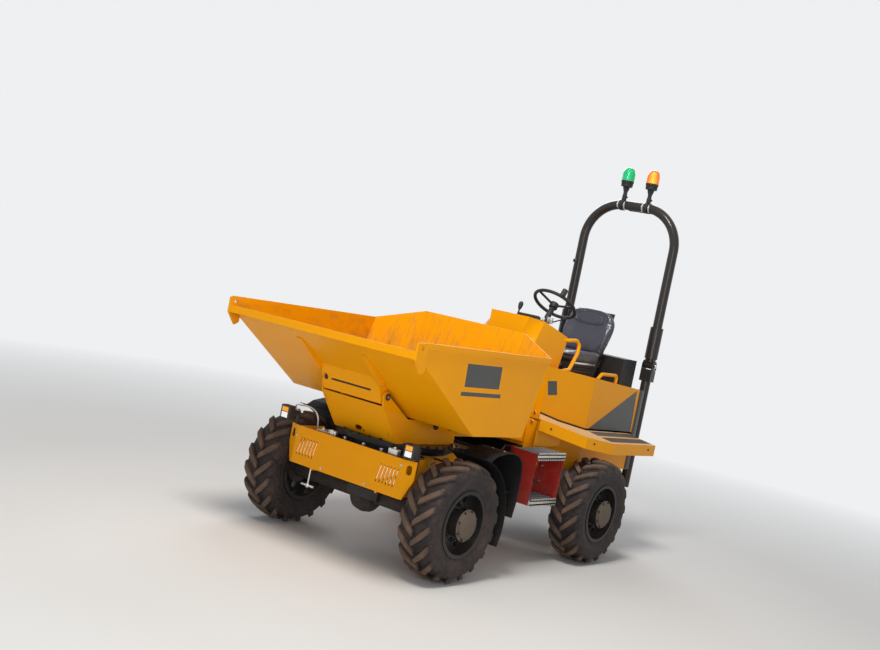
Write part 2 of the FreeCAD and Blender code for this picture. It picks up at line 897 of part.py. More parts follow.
def skip_shell():
    top = skip_guard_z + 30
    outer = loft([skip_plan(skip_floor_z, 0), skip_plan(top, 0)])
    inner = loft([skip_plan(skip_floor_z + skip_wall, skip_wall), skip_plan(top + 1, skip_wall)])
    shell = outer.cut(inner)
    side_top_x = skip_rear_side_x - (skip_rim_z - skip_floor_z) * skip_rear_slope
    far = past_all
    above_sides = box(side_top_x + 8, far, -far, far, skip_rim_z, far)
    above_guard = prism(
        [
            (-far, skip_rim_z),
            (-skip_half, skip_rim_z),
            (-skip_rear_mid_half, skip_guard_z),
            (skip_rear_mid_half, skip_guard_z),
            (skip_half, skip_rim_z),
            (far, skip_rim_z),
            (far, far),
            (-far, far),
        ],
        "x",
        0,
        side_top_x + 8,
    )
    before_lip = box(lip_x - lip_plate, far, -far, far, 0, far)
    above_lip = box(lip_x - lip_run, far, -skip_half + skip_wall, skip_half - skip_wall,
                    lip_top_z - 6, far)
    shell = cut(shell, [above_sides, above_guard, before_lip, above_lip])
    lip = box(lip_x - lip_plate, lip_x, -skip_half, skip_half, lip_top_z - lip_height, lip_top_z)
    rim_back = side_top_x + rim_bar_height * skip_rear_slope
    bars = []
    for side in (-1, 1):
        y0 = side * skip_half
        y1 = side * (skip_half + rim_bar)
        bars.append(
            box(rim_back, lip_x - 62, min(y0, y1), max(y0, y1),
                skip_rim_z - rim_bar_height, skip_rim_z)
        )
        eye = prism(
            [
                (lip_x - 66, skip_rim_z),
                (lip_x, skip_rim_z - 8),
                (lip_x, lip_top_z - lip_height),
                (lip_x - 66, lip_top_z - lip_height - 78),
                (lip_x - 100, lip_top_z - lip_height - 60),
                (lip_x - 100, skip_rim_z),
            ],
            "y",
            min(side * (skip_half - skip_wall), y1),
            max(side * (skip_half - skip_wall), y1),
        )
        hole = rod(V(lip_x - 46, side * (skip_half - 40), skip_rim_z - 34), Y_AXIS * side,
                   eye_hole_radius, 80)
        bars.append(eye.cut(hole))
        shell = shell.cut(hole)
    return fuse([shell, lip] + bars)


def skip_stiffeners():
    """Hinge box, ribs and cylinder lugs under the skip."""
    def wall_z(x):
        return skip_floor_z + (x - skip_front_x) * skip_front_slope

    half = swivel_cheek_y - swivel_cheek - run_gap
    top_x = hinge_x + 92
    back_x = hinge_x - 42
    outline = [
        (back_x, wall_z(back_x)),
        (top_x, wall_z(top_x)),
        (apron_top_x + 6, hinge_z - 50),
        (hinge_x - 34, hinge_z - 26),
    ]
    hinge_box = prism(outline, "y", -half, half)
    face_x = (top_x + apron_top_x + 6) / 2
    face_z = (wall_z(top_x) + hinge_z - 50) / 2
    hinge_box = cut(hinge_box, [
        rod(V(face_x - 30, box_hole_y, face_z), X_AXIS, box_hole_radius, 60),
        box(face_x - 24, face_x + 60, -box_slot_half, box_slot_half, face_z - box_slot_height,
            face_z),
    ])
    parts = [hinge_box]
    for side in (-1, 1):
        x0 = top_x - 20
        x1 = lip_x - 150
        depth = 26.0
        y = side * 262.0
        parts.append(
            prism(
                [
                    (x0, wall_z(x0)),
                    (x1, wall_z(x1)),
                    (x1 + 4, wall_z(x1) - 6),
                    (x0 + 16, wall_z(x0) - depth),
                ],
                "y",
                y - 22,
                y + 22,
            )
        )
        bore = rod(V(hinge_x, side * (half - 40), hinge_z), Y_AXIS * side,
                   hinge_pin_radius + pin_fit, 60)
        parts[0] = parts[0].cut(bore)
        y_in = cylinder_eye_width / 2 + 4
        lug = prism(
            [
                (tip_eye_x - 40, skip_floor_z),
                (tip_eye_x + 50, skip_floor_z),
                (tip_eye_x + 18, tip_eye_z - 20),
                (tip_eye_x - 18, tip_eye_z - 20),
            ],
            "y",
            min(side * y_in, side * (y_in + 12)),
            max(side * y_in, side * (y_in + 12)),
        )
        parts.append(lug)
    return Part.makeCompound(parts)


# Cylinders: the barrel turns on its base pin, the rod slides out of it
def cylinder_parts(base, eye, across, barrel_radius, rod_radius, barrel_length, eye_radius,
                   eye_width, pin_radius, rod_start):
    along = (eye - base).normalize()
    neck = eye_radius + 14
    barrel = fuse([
        rod(base - across * (eye_width / 2), across, eye_radius, eye_width),
        bar(base, base + along * neck, eye_width * 0.42),
        bar(base + along * neck, base + along * barrel_length, barrel_radius),
        bar(base + along * (barrel_length - barrel_radius), base + along * barrel_length,
            barrel_radius * 1.12),
    ])
    barrel = cut(barrel, [
        rod(base - across * (eye_width / 2 + 1), across, pin_radius + pin_fit, eye_width + 2),
        bar(base + along * (eye_radius + 16), base + along * (barrel_length + 1),
            rod_radius + pin_fit),
    ])
    pin_half = eye_width / 2 + pin_end
    slide = fuse([
        bar(base + along * rod_start, eye, rod_radius),
        rod(eye - across * (eye_width / 2), across, eye_radius * 0.85, eye_width),
        rod(eye - across * pin_half, across, pin_radius, 2 * pin_half),
    ])
    return barrel, slide


# Rear chassis
def rear_chassis():
    inner = frame_half - frame_plate
    outline = [
        (frame_front_x, pivot_ear_low_z + 20),
        (frame_front_x, pivot_ear_high_z + 40),
        (frame_front_x - 60, frame_top_z),
        (frame_rear_x, frame_top_z),
        (frame_rear_x, frame_low_z),
        (frame_front_x - 120, frame_low_z),
    ]
    parts = [
        prism(outline, "y", inner, frame_half),
        prism(outline, "y", -frame_half, -inner),
        box(frame_front_x, frame_front_x + frame_plate, -frame_half, frame_half,
            pivot_ear_low_z + 20, pivot_ear_high_z + 40),
        box(frame_rear_x, frame_rear_x + 30, -frame_half, frame_half, frame_low_z, frame_top_z),
        box(rear_axle_x + 200, rear_axle_x + 214, -inner, inner, frame_low_z, frame_top_z),
    ]
    for low in (pivot_ear_low_z, pivot_ear_high_z):
        ear = prism(
            [
                (frame_front_x + 14, -150),
                (pivot_x, -pivot_ear_radius),
                (pivot_x, pivot_ear_radius),
                (frame_front_x + 14, 150),
            ],
            "z",
            low,
            low + pivot_ear,
        )
        parts += [ear, rod(V(pivot_x, 0, low), Z_AXIS, pivot_ear_radius, pivot_ear)]
    pin_low = pivot_ear_low_z - 10
    pin = rod(V(pivot_x, 0, pin_low), Z_AXIS, pivot_pin_radius,
              pivot_ear_high_z + pivot_ear + 12 - pin_low)
    parts.append(pin)
    ram_shelf = box(steer_base_x - 50, steer_base_x + 36, -inner, steer_base_y + 40,
                    steer_z - 46, steer_z - 26)
    ram_pin = rod(V(steer_base_x, steer_base_y, steer_z - 46), Z_AXIS, cylinder_pin_radius, 76)
    parts += [ram_shelf, ram_pin]
    ram_window = box(frame_front_x - 1, frame_front_x + frame_plate + 1, steer_base_y - 46,
                     steer_arm_y + 46, steer_z - 44, steer_z + 44)
    return fuse(parts).cut(ram_window)


def tow_hitch():
    """Jaw of two plates on the rear cross member, bored for a pin."""
    end_x = frame_rear_x - hitch_length
    outline = [
        (end_x, -hitch_width / 2),
        (end_x, hitch_width / 2),
        (frame_rear_x, hitch_root_width / 2),
        (frame_rear_x, -hitch_root_width / 2),
    ]
    hole = rod(V(end_x + hitch_length / 2, 0, hitch_z - hitch_gap - hitch_plate), Z_AXIS,
               hitch_pin_radius, 2 * (hitch_gap + hitch_plate))
    parts = [box(frame_rear_x - 8, frame_rear_x, -hitch_root_width / 2, hitch_root_width / 2,
                 hitch_z - hitch_gap, hitch_z + hitch_gap)]
    for low in (hitch_z - hitch_gap / 2 - hitch_plate, hitch_z + hitch_gap / 2):
        parts.append(prism(outline, "z", low, low + hitch_plate).cut(hole))
    return fuse(parts)


def engine():
    """Engine and pump as one block, on four feet between the frame plates."""
    parts = [box(engine_rear_x, engine_front_x, -engine_half, engine_half, engine_low_z,
                 engine_top_z)]
    inner = frame_half - frame_plate
    for x in (engine_rear_x + 70, engine_front_x - 70):
        parts.append(box(x - 30, x + 30, -inner, inner, engine_low_z + 80, engine_low_z + 140))
    return fuse(parts)


# Rear body: a hollow tub of sheet with a foot well and a seat deck
def sill_z(x):
    t = (body_front_x - x) / (body_front_x - body_rear_x)
    return sill_front_z + (sill_rear_z - sill_front_z) * t


def body_block(inset, low, drop):
    plan = [
        (body_front_x - inset, body_front_half - inset),
        (body_bend_x, body_rear_half - inset),
        (body_rear_x + inset, body_rear_half - inset),
        (body_rear_x + inset, -body_rear_half + inset),
        (body_bend_x, -body_rear_half + inset),
        (body_front_x - inset, -body_front_half + inset),
    ]
    upright = prism(plan, "z", low, sill_front_z + 100)
    under = [
        (body_front_x + 10, low),
        (body_front_x + 10, sill_z(body_front_x + 10) - drop),
        (body_rear_x - 10, sill_z(body_rear_x - 10) - drop),
        (body_rear_x - 10, low),
    ]
    return upright.common(prism(under, "y", -2 * body_rear_half, 2 * body_rear_half))


def rear_body():
    shell = body_block(0, body_low_z, 0).cut(body_block(body_sheet, body_low_z - 1, body_sheet))
    well = box(well_rear_x, well_front_x, -well_half, well_half, well_floor_z, past_all)
    shell = shell.cut(well)
    liner = cut(
        box(well_rear_x - body_sheet, well_front_x + body_sheet, -well_half - body_sheet,
            well_half + body_sheet, well_floor_z - body_sheet, past_all),
        [well],
    ).common(body_block(0, body_low_z, 0))
    slots = []
    for i in range(grille_slots):
        y = (i - (grille_slots - 1) / 2) * grille_pitch
        slots.append(box(body_rear_x - 1, body_rear_x + body_sheet + 1, y - grille_slot / 2,
                         y + grille_slot / 2, grille_low_z, grille_top_z))
    frame_notch = box(frame_rear_x, frame_front_x, -frame_half, frame_half, 0, frame_top_z)
    return cut(fuse([shell, liner]), slots + [frame_notch])


def board_profile(depth):
    """Side outline of a running board's top, depth thick."""
    top = [
        (board_front_x, board_front_z),
        (board_mid_x, board_mid_z),
        (board_wide_x, board_wide_z),
        (board_rear_x, board_rear_z),
    ]
    return top + [(x, z - depth) for x, z in reversed(top)]


def board_plan(inset):
    return [
        (board_front_x - inset, body_front_half + inset),
        (board_front_x - inset, board_front_outer - inset),
        (board_mid_x, board_mid_outer - inset),
        (board_wide_x, board_outer - inset),
        (board_corner_x + inset, board_corner_outer - inset),
        (board_rear_x + inset, body_rear_half),
        (body_bend_x, body_rear_half),
        (body_front_x, body_front_half),
    ]


def running_boards():
    tread = prism(board_profile(body_sheet), "y", 0, past_all).common(
        prism(board_plan(0), "z", 0, past_all)
    )
    band = prism(board_plan(0), "z", 0, past_all).cut(
        prism(board_plan(body_sheet), "z", -1, past_all + 1)
    )
    outside = box(-past_all, past_all, body_rear_half + 20, past_all, 0, past_all)
    skirt = prism(board_profile(board_skirt), "y", 0, past_all).common(band).common(outside)
    hip = prism(
        [
            (board_front_x - 12, hip_low_z),
            (board_front_x - 12, board_front_z),
            (board_mid_x, board_front_z),
            (board_mid_x, hip_low_z),
        ],
        "y",
        hip_y - body_sheet,
        hip_y,
    ).common(prism(board_profile(wheel_radius), "y", 0, past_all))
    return pair(fuse([tread, skirt, hip]))


def console():
    """Hooded tower between the skip and the foot well, its crown sloping to the driver."""
    rings = []
    for z, nose, nose_half_width, front, front_half, rear, rear_half in console_sections:
        left = [(nose, nose_half_width), (front, front_half), (rear, rear_half)]
        right = [(x, -y) for x, y in reversed(left)]
        rings.append([V(x, y, z) for x, y in left + right])
    tower = loft(rings)
    nose_top = console_sections[-1][1]
    rear_top = console_sections[-1][5]
    crown = [
        (nose_top + 100, console_crown_z + 40),
        (nose_top + 100, console_crown_z - 9),
        (console_brow_x, console_brow_z),
        (rear_top - 40, console_brow_z + (rear_top - 40 - console_brow_x) * 0.282),
        (rear_top - 40, console_crown_z + 40),
    ]
    tower = tower.cut(prism(crown, "y", -body_rear_half, body_rear_half))
    corner = [
        e for e in tower.Edges
        if e.BoundBox.YLength > console_sections[-1][6] and e.BoundBox.XMax < well_front_x
        and e.BoundBox.ZMin > sill_front_z + 150
    ]
    tower = tower.makeFillet(console_corner_radius, corner)
    return tower.cut(body_block(0, body_low_z, 0))


def step_frame():
    """Folded plate carrying the two treads on the left."""
    back = box(step_rear_x, step_front_x, step_inner_y - step_sheet, step_inner_y,
               step_low_z - step_lip, step_high_z)
    ends = []
    for x in (step_rear_x, step_front_x - step_sheet):
        ends.append(
            box(x, x + step_sheet, step_inner_y - step_sheet, step_outer_y,
                step_low_z - step_lip, step_high_z)
        )
    holes = []
    for row in range(2):
        for i in range(step_holes):
            x = (step_front_x + step_rear_x) / 2 + (i - (step_holes - 1) / 2) * step_hole_pitch
            z = step_low_z + 85 + row * 120
            holes.append(rod(V(x, step_inner_y - 20, z), Y_AXIS, step_hole_radius, 40))
    arms = []
    for z in (step_low_z + 10, step_high_z - 75):
        arms.append(box(step_rear_x + 60, step_rear_x + 100, frame_half, step_inner_y, z, z + 40))
    return fuse([cut(fuse([back] + ends), holes)] + arms)


def step_treads():
    treads = []
    for z, reach in ((step_low_z, -step_sheet), (step_high_z, step_sheet)):
        x0 = step_rear_x - reach
        x1 = step_front_x + reach
        tread = box(x0, x1, step_inner_y, step_outer_y + 8, z, z + 5)
        nose = box(x0, x1, step_outer_y + 4, step_outer_y + 8, z - step_lip, z)
        treads.append(fuse([tread, nose]))
    return Part.makeCompound(treads)


def grab_handles():
    """Loops from the console's rear corners to the deck, and low loops beside the seat."""
    rear = console_sections[2][5]
    side = console_sections[2][6]
    high = console_sections[2][0]
    loop = bent_tube(
        [
            V(rear + 32, side - 33, high + 53),
            V(rear - 23, side + 14, high + 62),
            V(rear - 158, side + 27, high + 75),
            V(rear - 115, side + 47, high - 30),
            V(rear + 27, side + 87, high - 148),
            V(rear + 142, side + 92, high - 165),
        ],
        handle_radius,
        handle_bend,
    )
    sill = bent_tube(
        [
            V(sill_handle_front_x, sill_handle_y, sill_z(sill_handle_front_x) - 6),
            V(sill_handle_front_x - 58, sill_handle_y, sill_handle_z),
            V(sill_handle_rear_x, sill_handle_y, sill_handle_z),
            V(sill_handle_rear_x, sill_handle_y, sill_z(sill_handle_rear_x) - 6),
        ],
        sill_handle_radius,
        sill_handle_bend,
    )
    loop = loop.cut(console()).cut(body_block(0, body_low_z, 0))
    sill = sill.cut(body_block(0, body_low_z, 0))
    shapes = [max(s.Solids, key=lambda one: one.Volume) for s in (loop, sill)]
    return Part.makeCompound(shapes + [mirrored(s) for s in shapes])


# Seat
def seat_base():
    front = seat_x + 165
    rear = seat_x - 230
    base = prism(
        [
            (rear + 40, sill_z(rear + 40)),
            (front, sill_z(front)),
            (front, seat_cushion_z - soft_gap),
            (rear, seat_cushion_z - soft_gap),
        ],
        "y",
        -seat_base_half,
        seat_base_half,
    )
    low = seat_cushion_z - soft_gap
    top = seat_cushion_z + seat_cushion_height + seat_back_height * 0.8

    def behind(z):
        rise = z - seat_cushion_z - seat_back_lift
        return seat_back_x - seat_back_depth - soft_gap - rise * sin(radians(seat_back_lean))

    pan = prism(
        [
            (rear + 20, low - 30),
            (rear + 20, low),
            (behind(low), low),
            (behind(top), top),
            (behind(top) - 8, top),
            (behind(low) - 8, low - 30),
        ],
        "y",
        -seat_base_half + 25,
        seat_base_half - 25,
    )
    return fuse([base.cut(body_block(0, body_low_z, 0)), pan])


def seat_cushion():
    half = seat_width / 2
    body = box(seat_x - seat_depth / 2, seat_x + seat_depth / 2, -half, half,
               seat_cushion_z, seat_cushion_z + seat_cushion_height)
    return body.makeFillet(26, body.Edges)


def seat_back():
    half = seat_width / 2 - 12
    low = seat_cushion_z + seat_back_lift
    lean = seat_back_height * sin(radians(seat_back_lean))
    outline = [
        (seat_back_x, low),
        (seat_back_x - lean, low + seat_back_height),
        (seat_back_x - lean - seat_back_depth, low + seat_back_height),
        (seat_back_x - seat_back_depth, low),
    ]
    body = prism(outline, "y", -half, half)
    return body.makeFillet(30, body.Edges)


def rear_box():
    back = body_rear_x + rear_box_margin
    outline = [
        (back, sill_z(back)),
        (rear_box_x, sill_z(rear_box_x)),
        (rear_box_x, rear_box_z),
        (back, rear_box_z),
    ]
    return prism(outline, "y", -rear_box_half, rear_box_half)


# Roll-over hoop on two posts
def rops_posts():
    post = rod(V(hoop_x, hoop_half, post_low_z), Z_AXIS, hoop_radius,
               hoop_hinge_z - 100 - post_low_z)
    half = hoop_cheek_half
    outline = [
        (hoop_x - half, hoop_hinge_z - 130),
        (hoop_x + half, hoop_hinge_z - 130),
        (hoop_x + half, hoop_hinge_z + 14),
        (hoop_x + half / 2, hoop_hinge_z + 38),
        (hoop_x - half / 2, hoop_hinge_z + 38),
        (hoop_x - half, hoop_hinge_z + 14),
    ]
    cheeks = [
        prism(outline, "y", hoop_half + hoop_cheek_gap, hoop_half + hoop_cheek_gap + hoop_cheek),
        prism(outline, "y", hoop_half - hoop_cheek_gap - hoop_cheek, hoop_half - hoop_cheek_gap),
    ]
    pin = rod(V(hoop_x, hoop_half - hoop_radius - 20, hoop_hinge_z), Y_AXIS, hoop_pin_radius,
              2 * hoop_radius + 40)
    block = box(hoop_x - half, hoop_x + half, hoop_half - hoop_cheek_gap,
                hoop_half + hoop_cheek_gap, hoop_hinge_z - 130,
                hoop_hinge_z - knuckle_radius - run_gap)
    foot = box(frame_rear_x, frame_rear_x + 60, frame_half, hoop_half, post_low_z, post_low_z + 90)
    return fuse([post, block, pin, foot] + cheeks)


def strut_bracket(z):
    """Plate on the front of the right-hand leg that carries one end of the gas strut."""
    face_y = strut_y - strut_eye_width / 2 - pin_end - 0.5
    return box(hoop_x, strut_x + strut_eye_radius, face_y - strut_plate, face_y,
               z - strut_eye_radius, z + strut_eye_radius)


def both_posts():
    left = rops_posts()
    face_y = strut_y - strut_eye_width / 2 - pin_end - 0.5
    stud = rod(V(strut_x, face_y, strut_low_z), Y_AXIS, strut_pin_radius,
               strut_eye_width + pin_end + 3)
    right = fuse([mirrored(left), strut_bracket(strut_low_z), stud])
    return Part.makeCompound([left, right])


def rops_hoop():
    low = hoop_hinge_z + 30
    tube = bent_tube(
        [
            V(hoop_x, hoop_half, low),
            V(hoop_x, hoop_half, hoop_top_z),
            V(hoop_x, -hoop_half, hoop_top_z),
            V(hoop_x, -hoop_half, low),
        ],
        hoop_radius,
        hoop_corner,
    )
    parts = [tube]
    for side in (-1, 1):
        y = side * hoop_half
        sleeve = rod(V(hoop_x, y, hoop_hinge_z + 55), Z_AXIS, hoop_sleeve,
                     hoop_sleeve_top_z - hoop_hinge_z - 55)
        tongue = box(hoop_x - knuckle_radius, hoop_x + knuckle_radius, y - hoop_radius + 3,
                     y + hoop_radius - 3, hoop_hinge_z, hoop_hinge_z + 60)
        knuckle = rod(V(hoop_x, y - hoop_radius + 3, hoop_hinge_z), Y_AXIS, knuckle_radius,
                      2 * hoop_radius - 6)
        parts += [sleeve, tongue, knuckle]
    body = fuse(parts + [strut_bracket(strut_top_z)])
    for side in (-1, 1):
        y = side * hoop_half
        body = body.cut(
            rod(V(hoop_x, y - hoop_sleeve, hoop_hinge_z), Y_AXIS, hoop_pin_radius + pin_fit,
                2 * hoop_sleeve)
        )
    return body


def beacon_mounts():
    parts = []
    for y in (beacon_green_y, beacon_amber_y):
        past_corner = max(0, abs(y) - (hoop_half - hoop_corner))
        drop = hoop_corner - sqrt(hoop_corner ** 2 - past_corner ** 2)
        slope = asin(past_corner / hoop_corner) * (1 if y > 0 else -1)
        along = V(0, cos(slope), -sin(slope))
        middle = V(hoop_x, y, hoop_top_z - drop)
        stem = rod(middle, Z_AXIS, beacon_stem_radius, beacon_lens_z - 40 - middle.z)
        collar = rod(middle - along * 16, along, hoop_radius + 8, 32)
        base = rod(V(hoop_x, y, beacon_lens_z - 42), Z_AXIS, beacon_base_radius, 42)
        tube = rod(middle - along * 60, along, hoop_radius + clamp_fit, 120)
        parts.append(fuse([collar, stem, base]).cut(tube))
    return Part.makeCompound(parts)


def beacon_lens(y):
    outline = [
        (0, 0),
        (0, beacon_lens_radius),
        (beacon_lens_height * 0.55, beacon_lens_radius * 0.98),
        (beacon_lens_height * 0.85, beacon_lens_radius * 0.78),
        (beacon_lens_height, beacon_lens_radius * 0.4),
        (beacon_lens_height, 0),
    ]
    return revolve(outline, V(hoop_x, y, beacon_lens_z), Z_AXIS)


# Steering wheel and its column
def column_axis():
    a = radians(column_lean)
    return V(-sin(a), 0, cos(a))


def steering_column():
    hub = V(wheel_hub_x, 0, wheel_hub_z)
    end = hub - column_axis() * 22.5
    start = hub - column_axis() * column_length
    column = bar(start, end, column_radius)
    column = column.cut(console()).cut(body_block(0, body_low_z, 0))
    return max(column.Solids, key=lambda s: s.Volume)


def steering_wheel():
    axis = column_axis()
    hub = V(wheel_hub_x, 0, wheel_hub_z)
    ring = Part.makeTorus(wheel_ring_radius, wheel_tube_radius, hub + axis * 14, axis)
    parts = [ring, rod(hub - axis * 22, axis, 34, 40)]
    along = axis.cross(Y_AXIS)
    for i in range(3):
        a = 2 * pi * i / 3 + pi / 2
        way = along * cos(a) + Y_AXIS * sin(a)
        parts.append(bar(hub, hub + axis * 14 + way * wheel_ring_radius, 9))
    knob_turn = radians(wheel_knob_turn)
    knob_way = along * cos(knob_turn) + Y_AXIS * sin(knob_turn)
    knob = hub + axis * 14 + knob_way * wheel_ring_radius
    parts.append(rod(knob, axis, 22, 62))
    return fuse(parts)


def rear_lamps():
    lamp = box(body_rear_x - 34, body_rear_x, rear_lamp_y - 55, rear_lamp_y + 55,
               rear_lamp_z - 32, rear_lamp_z + 32)
    return pair(lamp)


def build():
    nodes = {}
    nodes["rear_chassis"] = rear_chassis()
    nodes["rear_axle"] = axle(rear_axle_x, 1, frame_half - frame_plate / 2, frame_low_z)
    nodes["engine_block"] = engine()
    nodes["rear_body"] = rear_body()
    nodes["running_boards"] = running_boards()
    nodes["console"] = console()
    nodes["step_frame"] = step_frame()
    nodes["step_treads"] = step_treads()
    nodes["grab_handles"] = grab_handles()
    nodes["seat_base"] = seat_base()
    nodes["seat_cushion"] = seat_cushion()
    nodes["seat_back"] = seat_back()
    nodes["rear_box"] = rear_box()
    nodes["rops_posts"] = both_posts()
    nodes["rear_lamps"] = rear_lamps()
    nodes["tow_hitch"] = tow_hitch()
    nodes["steering_column"] = steering_column()
    nodes["pivot_link"] = pivot_link()
    nodes["front_chassis"] = front_chassis()
    nodes["ring_base"] = ring_base()
    nodes["front_axle"] = axle(front_axle_x, -1, side_plate_y - side_plate / 2, chassis_low_z)
    nodes["headlamps"] = headlamps()
    nodes["side_lamps"] = side_lamps()
    nodes["front_mudguards"] = mudguards()
    nodes["slew_motor"] = slew_motor()
    nodes["slew_ring"] = slew_ring()
    nodes["swivel_frame"] = swivel_frame()
    nodes["hinge_pins"] = pair(hinge_pins())
    nodes["skip"] = skip_shell()
    nodes["skip_stiffeners"] = skip_stiffeners()
    stations = (("front_left", front_axle_x, 1), ("front_right", front_axle_x, -1),
                ("rear_left", rear_axle_x, 1), ("rear_right", rear_axle_x, -1))
    for name, x, side in stations:
        nodes["rim_" + name] = rim(x, side)
        nodes["tyre_" + name] = tyre(x, side)
    tip_base = V(tip_base_x, 0, tip_base_z)
    tip_eye = V(tip_eye_x, 0, tip_eye_z)
    barrel, slide = cylinder_parts(tip_base, tip_eye, Y_AXIS, tip_barrel_radius, tip_rod_radius,
                                   tip_barrel_length, cylinder_eye_radius, cylinder_eye_width,
                                   cylinder_pin_radius, cylinder_rod_start)
    nodes["tip_barrel"] = barrel
    nodes["tip_rod"] = slide
    steer_base = V(steer_base_x, steer_base_y, steer_z)
    steer_eye = V(steer_arm_x, steer_arm_y, steer_z)
    barrel, slide = cylinder_parts(steer_base, steer_eye, Z_AXIS, steer_barrel_radius,
                                   steer_rod_radius, steer_barrel_length, cylinder_eye_radius,
                                   cylinder_eye_width, cylinder_pin_radius,
                                   cylinder_rod_start + steer_stroke)
    nodes["steer_barrel"] = barrel
    nodes["steer_rod"] = slide
    strut_base = V(strut_x, strut_y, strut_low_z)
    strut_end = V(strut_x, strut_y, strut_top_z)
    barrel, slide = cylinder_parts(strut_base, strut_end, Y_AXIS, strut_barrel_radius,
                                   strut_rod_radius, strut_barrel_length, strut_eye_radius,
                                   strut_eye_width, strut_pin_radius, strut_rod_start)
    nodes["strut_barrel"] = barrel
    nodes["strut_rod"] = slide
    nodes["rops_hoop"] = rops_hoop()
    nodes["beacon_mounts"] = beacon_mounts()
    nodes["beacon_lens_green"] = beacon_lens(beacon_green_y)
    nodes["beacon_lens_amber"] = beacon_lens(beacon_amber_y)
    nodes["steering_wheel"] = steering_wheel()
    return nodes


os.makedirs("parts", exist_ok=True)
for node, shape in build().items():
    if not shape.isValid() or shape.Volume <= 0:
        print("check", node, shape.isValid(), shape.Volume)
    shape.exportStep("parts/" + node + ".step")
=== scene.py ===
"""Finishes and fittings of a site dumper with a swivelling skip, and the studio that it stands in."""

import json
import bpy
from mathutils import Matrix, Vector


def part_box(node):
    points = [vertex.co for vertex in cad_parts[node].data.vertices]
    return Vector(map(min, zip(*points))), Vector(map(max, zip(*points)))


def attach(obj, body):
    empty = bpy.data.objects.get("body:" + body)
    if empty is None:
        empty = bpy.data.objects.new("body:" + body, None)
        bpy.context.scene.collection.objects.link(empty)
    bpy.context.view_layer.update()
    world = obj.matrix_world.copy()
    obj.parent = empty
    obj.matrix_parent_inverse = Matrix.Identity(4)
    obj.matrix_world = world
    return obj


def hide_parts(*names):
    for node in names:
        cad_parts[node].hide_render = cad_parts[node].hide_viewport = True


bl_info = {
    "name": "Site dumper",
    "version": (1, 0, 0),
    "blender": (4, 5, 0),
    "location": "3D View > Sidebar > Dumper",
    "description": "Finishes and fittings of an articulated site dumper",
    "category": "Object",
}

from math import atan2, cos, exp, hypot, pi, radians, sin

import bmesh
import bpy
from bpy.props import FloatProperty, FloatVectorProperty, IntProperty, PointerProperty
from mathutils import Matrix, Vector

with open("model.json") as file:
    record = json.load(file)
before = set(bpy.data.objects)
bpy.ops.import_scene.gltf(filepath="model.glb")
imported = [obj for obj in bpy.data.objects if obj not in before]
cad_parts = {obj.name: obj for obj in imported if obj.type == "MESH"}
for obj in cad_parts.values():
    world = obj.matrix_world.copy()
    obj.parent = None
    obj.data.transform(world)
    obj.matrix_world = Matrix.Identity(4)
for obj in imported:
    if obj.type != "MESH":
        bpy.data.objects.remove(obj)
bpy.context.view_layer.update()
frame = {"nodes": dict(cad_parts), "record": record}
nodes = frame["nodes"]

WHEELS = {
    "front_left": (Vector((1.0, 0.67, 0.38)), 1),
    "front_right": (Vector((1.0, -0.67, 0.38)), -1),
    "rear_left": (Vector((-0.74, 0.67, 0.38)), 1),
    "rear_right": (Vector((-0.74, -0.67, 0.38)), -1),
}


# Sizes and colours that a user may change
def shade(label, about, red, green, blue):
    return FloatVectorProperty(name=label, description=about, subtype="COLOR", size=3,
                               min=0.0, max=1.0, default=(red, green, blue))


def length(label, about, default):
    return FloatProperty(name=label, description=about, default=default, min=0.0,
                         subtype="DISTANCE", unit="LENGTH", precision=4)


class DumperColours(bpy.types.PropertyGroup):
    yellow: shade("Body paint", "Paint of the skip, body and front chassis", 0.83, 0.335, 0.001)
    black: shade("Chassis paint", "Paint of the rims, turntable and rear chassis", 0.012, 0.012, 0.013)
    tube: shade("Hoop paint", "Paint of the roll-over hoop", 0.024, 0.021, 0.020)
    red: shade("Step paint", "Paint of the step's frame", 0.36, 0.010, 0.008)
    rubber: shade("Rubber", "Clean rubber of the tyres", 0.018, 0.015, 0.016)
    dust: shade("Dust", "Dry soil on the tyres and low down on the machine", 0.26, 0.20, 0.155)
    vinyl: shade("Seat skin", "Moulded vinyl of the seat", 0.026, 0.031, 0.056)
    panel: shade("Side panel", "Blank panels on the skip's sides", 0.050, 0.053, 0.052)
    green: shade("Green lens", "Lens of the seat-belt beacon", 0.0, 0.46, 0.15)
    amber: shade("Amber lens", "Lens of the warning beacon", 0.84, 0.115, 0.002)


class DumperTyres(bpy.types.PropertyGroup):
    lugs: IntProperty(name="Lugs a side", description="Lugs on each half of the tread",
                      default=18, min=6, max=40)
    lug_width: length("Lug width", "Width of a lug across its top", 0.033)
    groove_radius: length("Groove radius", "Radius of the carcass between the lugs", 0.352)
    sweep: FloatProperty(name="Lug sweep", description="Turn of a lug from the middle to the shoulder",
                         default=radians(17), subtype="ANGLE", unit="ROTATION")


class DumperSeat(bpy.types.PropertyGroup):
    voxel: length("Remesh size", "Voxel size of the padded pieces", 0.007)
    swell: length("Swell", "Furthest that the padding may move", 0.009)
    pressure: FloatProperty(name="Pressure", description="Pressure in the padded pieces",
                            default=4.0, min=0.0)


class DumperFittings(bpy.types.PropertyGroup):
    bolt: length("Bolt size", "Width across a bolt's flats", 0.019)
    tooth: length("Tooth pitch", "Distance between the teeth of a step", 0.030)
    grip: length("Grip strip", "Thickness of the anti-slip strips", 0.0012)


# Shader nodes
def put(tree, kind, values=None, **settings):
    """Adds a shader node. A socket among the values is linked, anything else is set."""
    made = tree.nodes.new(kind)
    for key, value in settings.items():
        setattr(made, key, value)
    for key, value in (values or {}).items():
        if isinstance(value, bpy.types.NodeSocket):
            tree.links.new(value, made.inputs[key])
        else:
            made.inputs[key].default_value = value
    return made


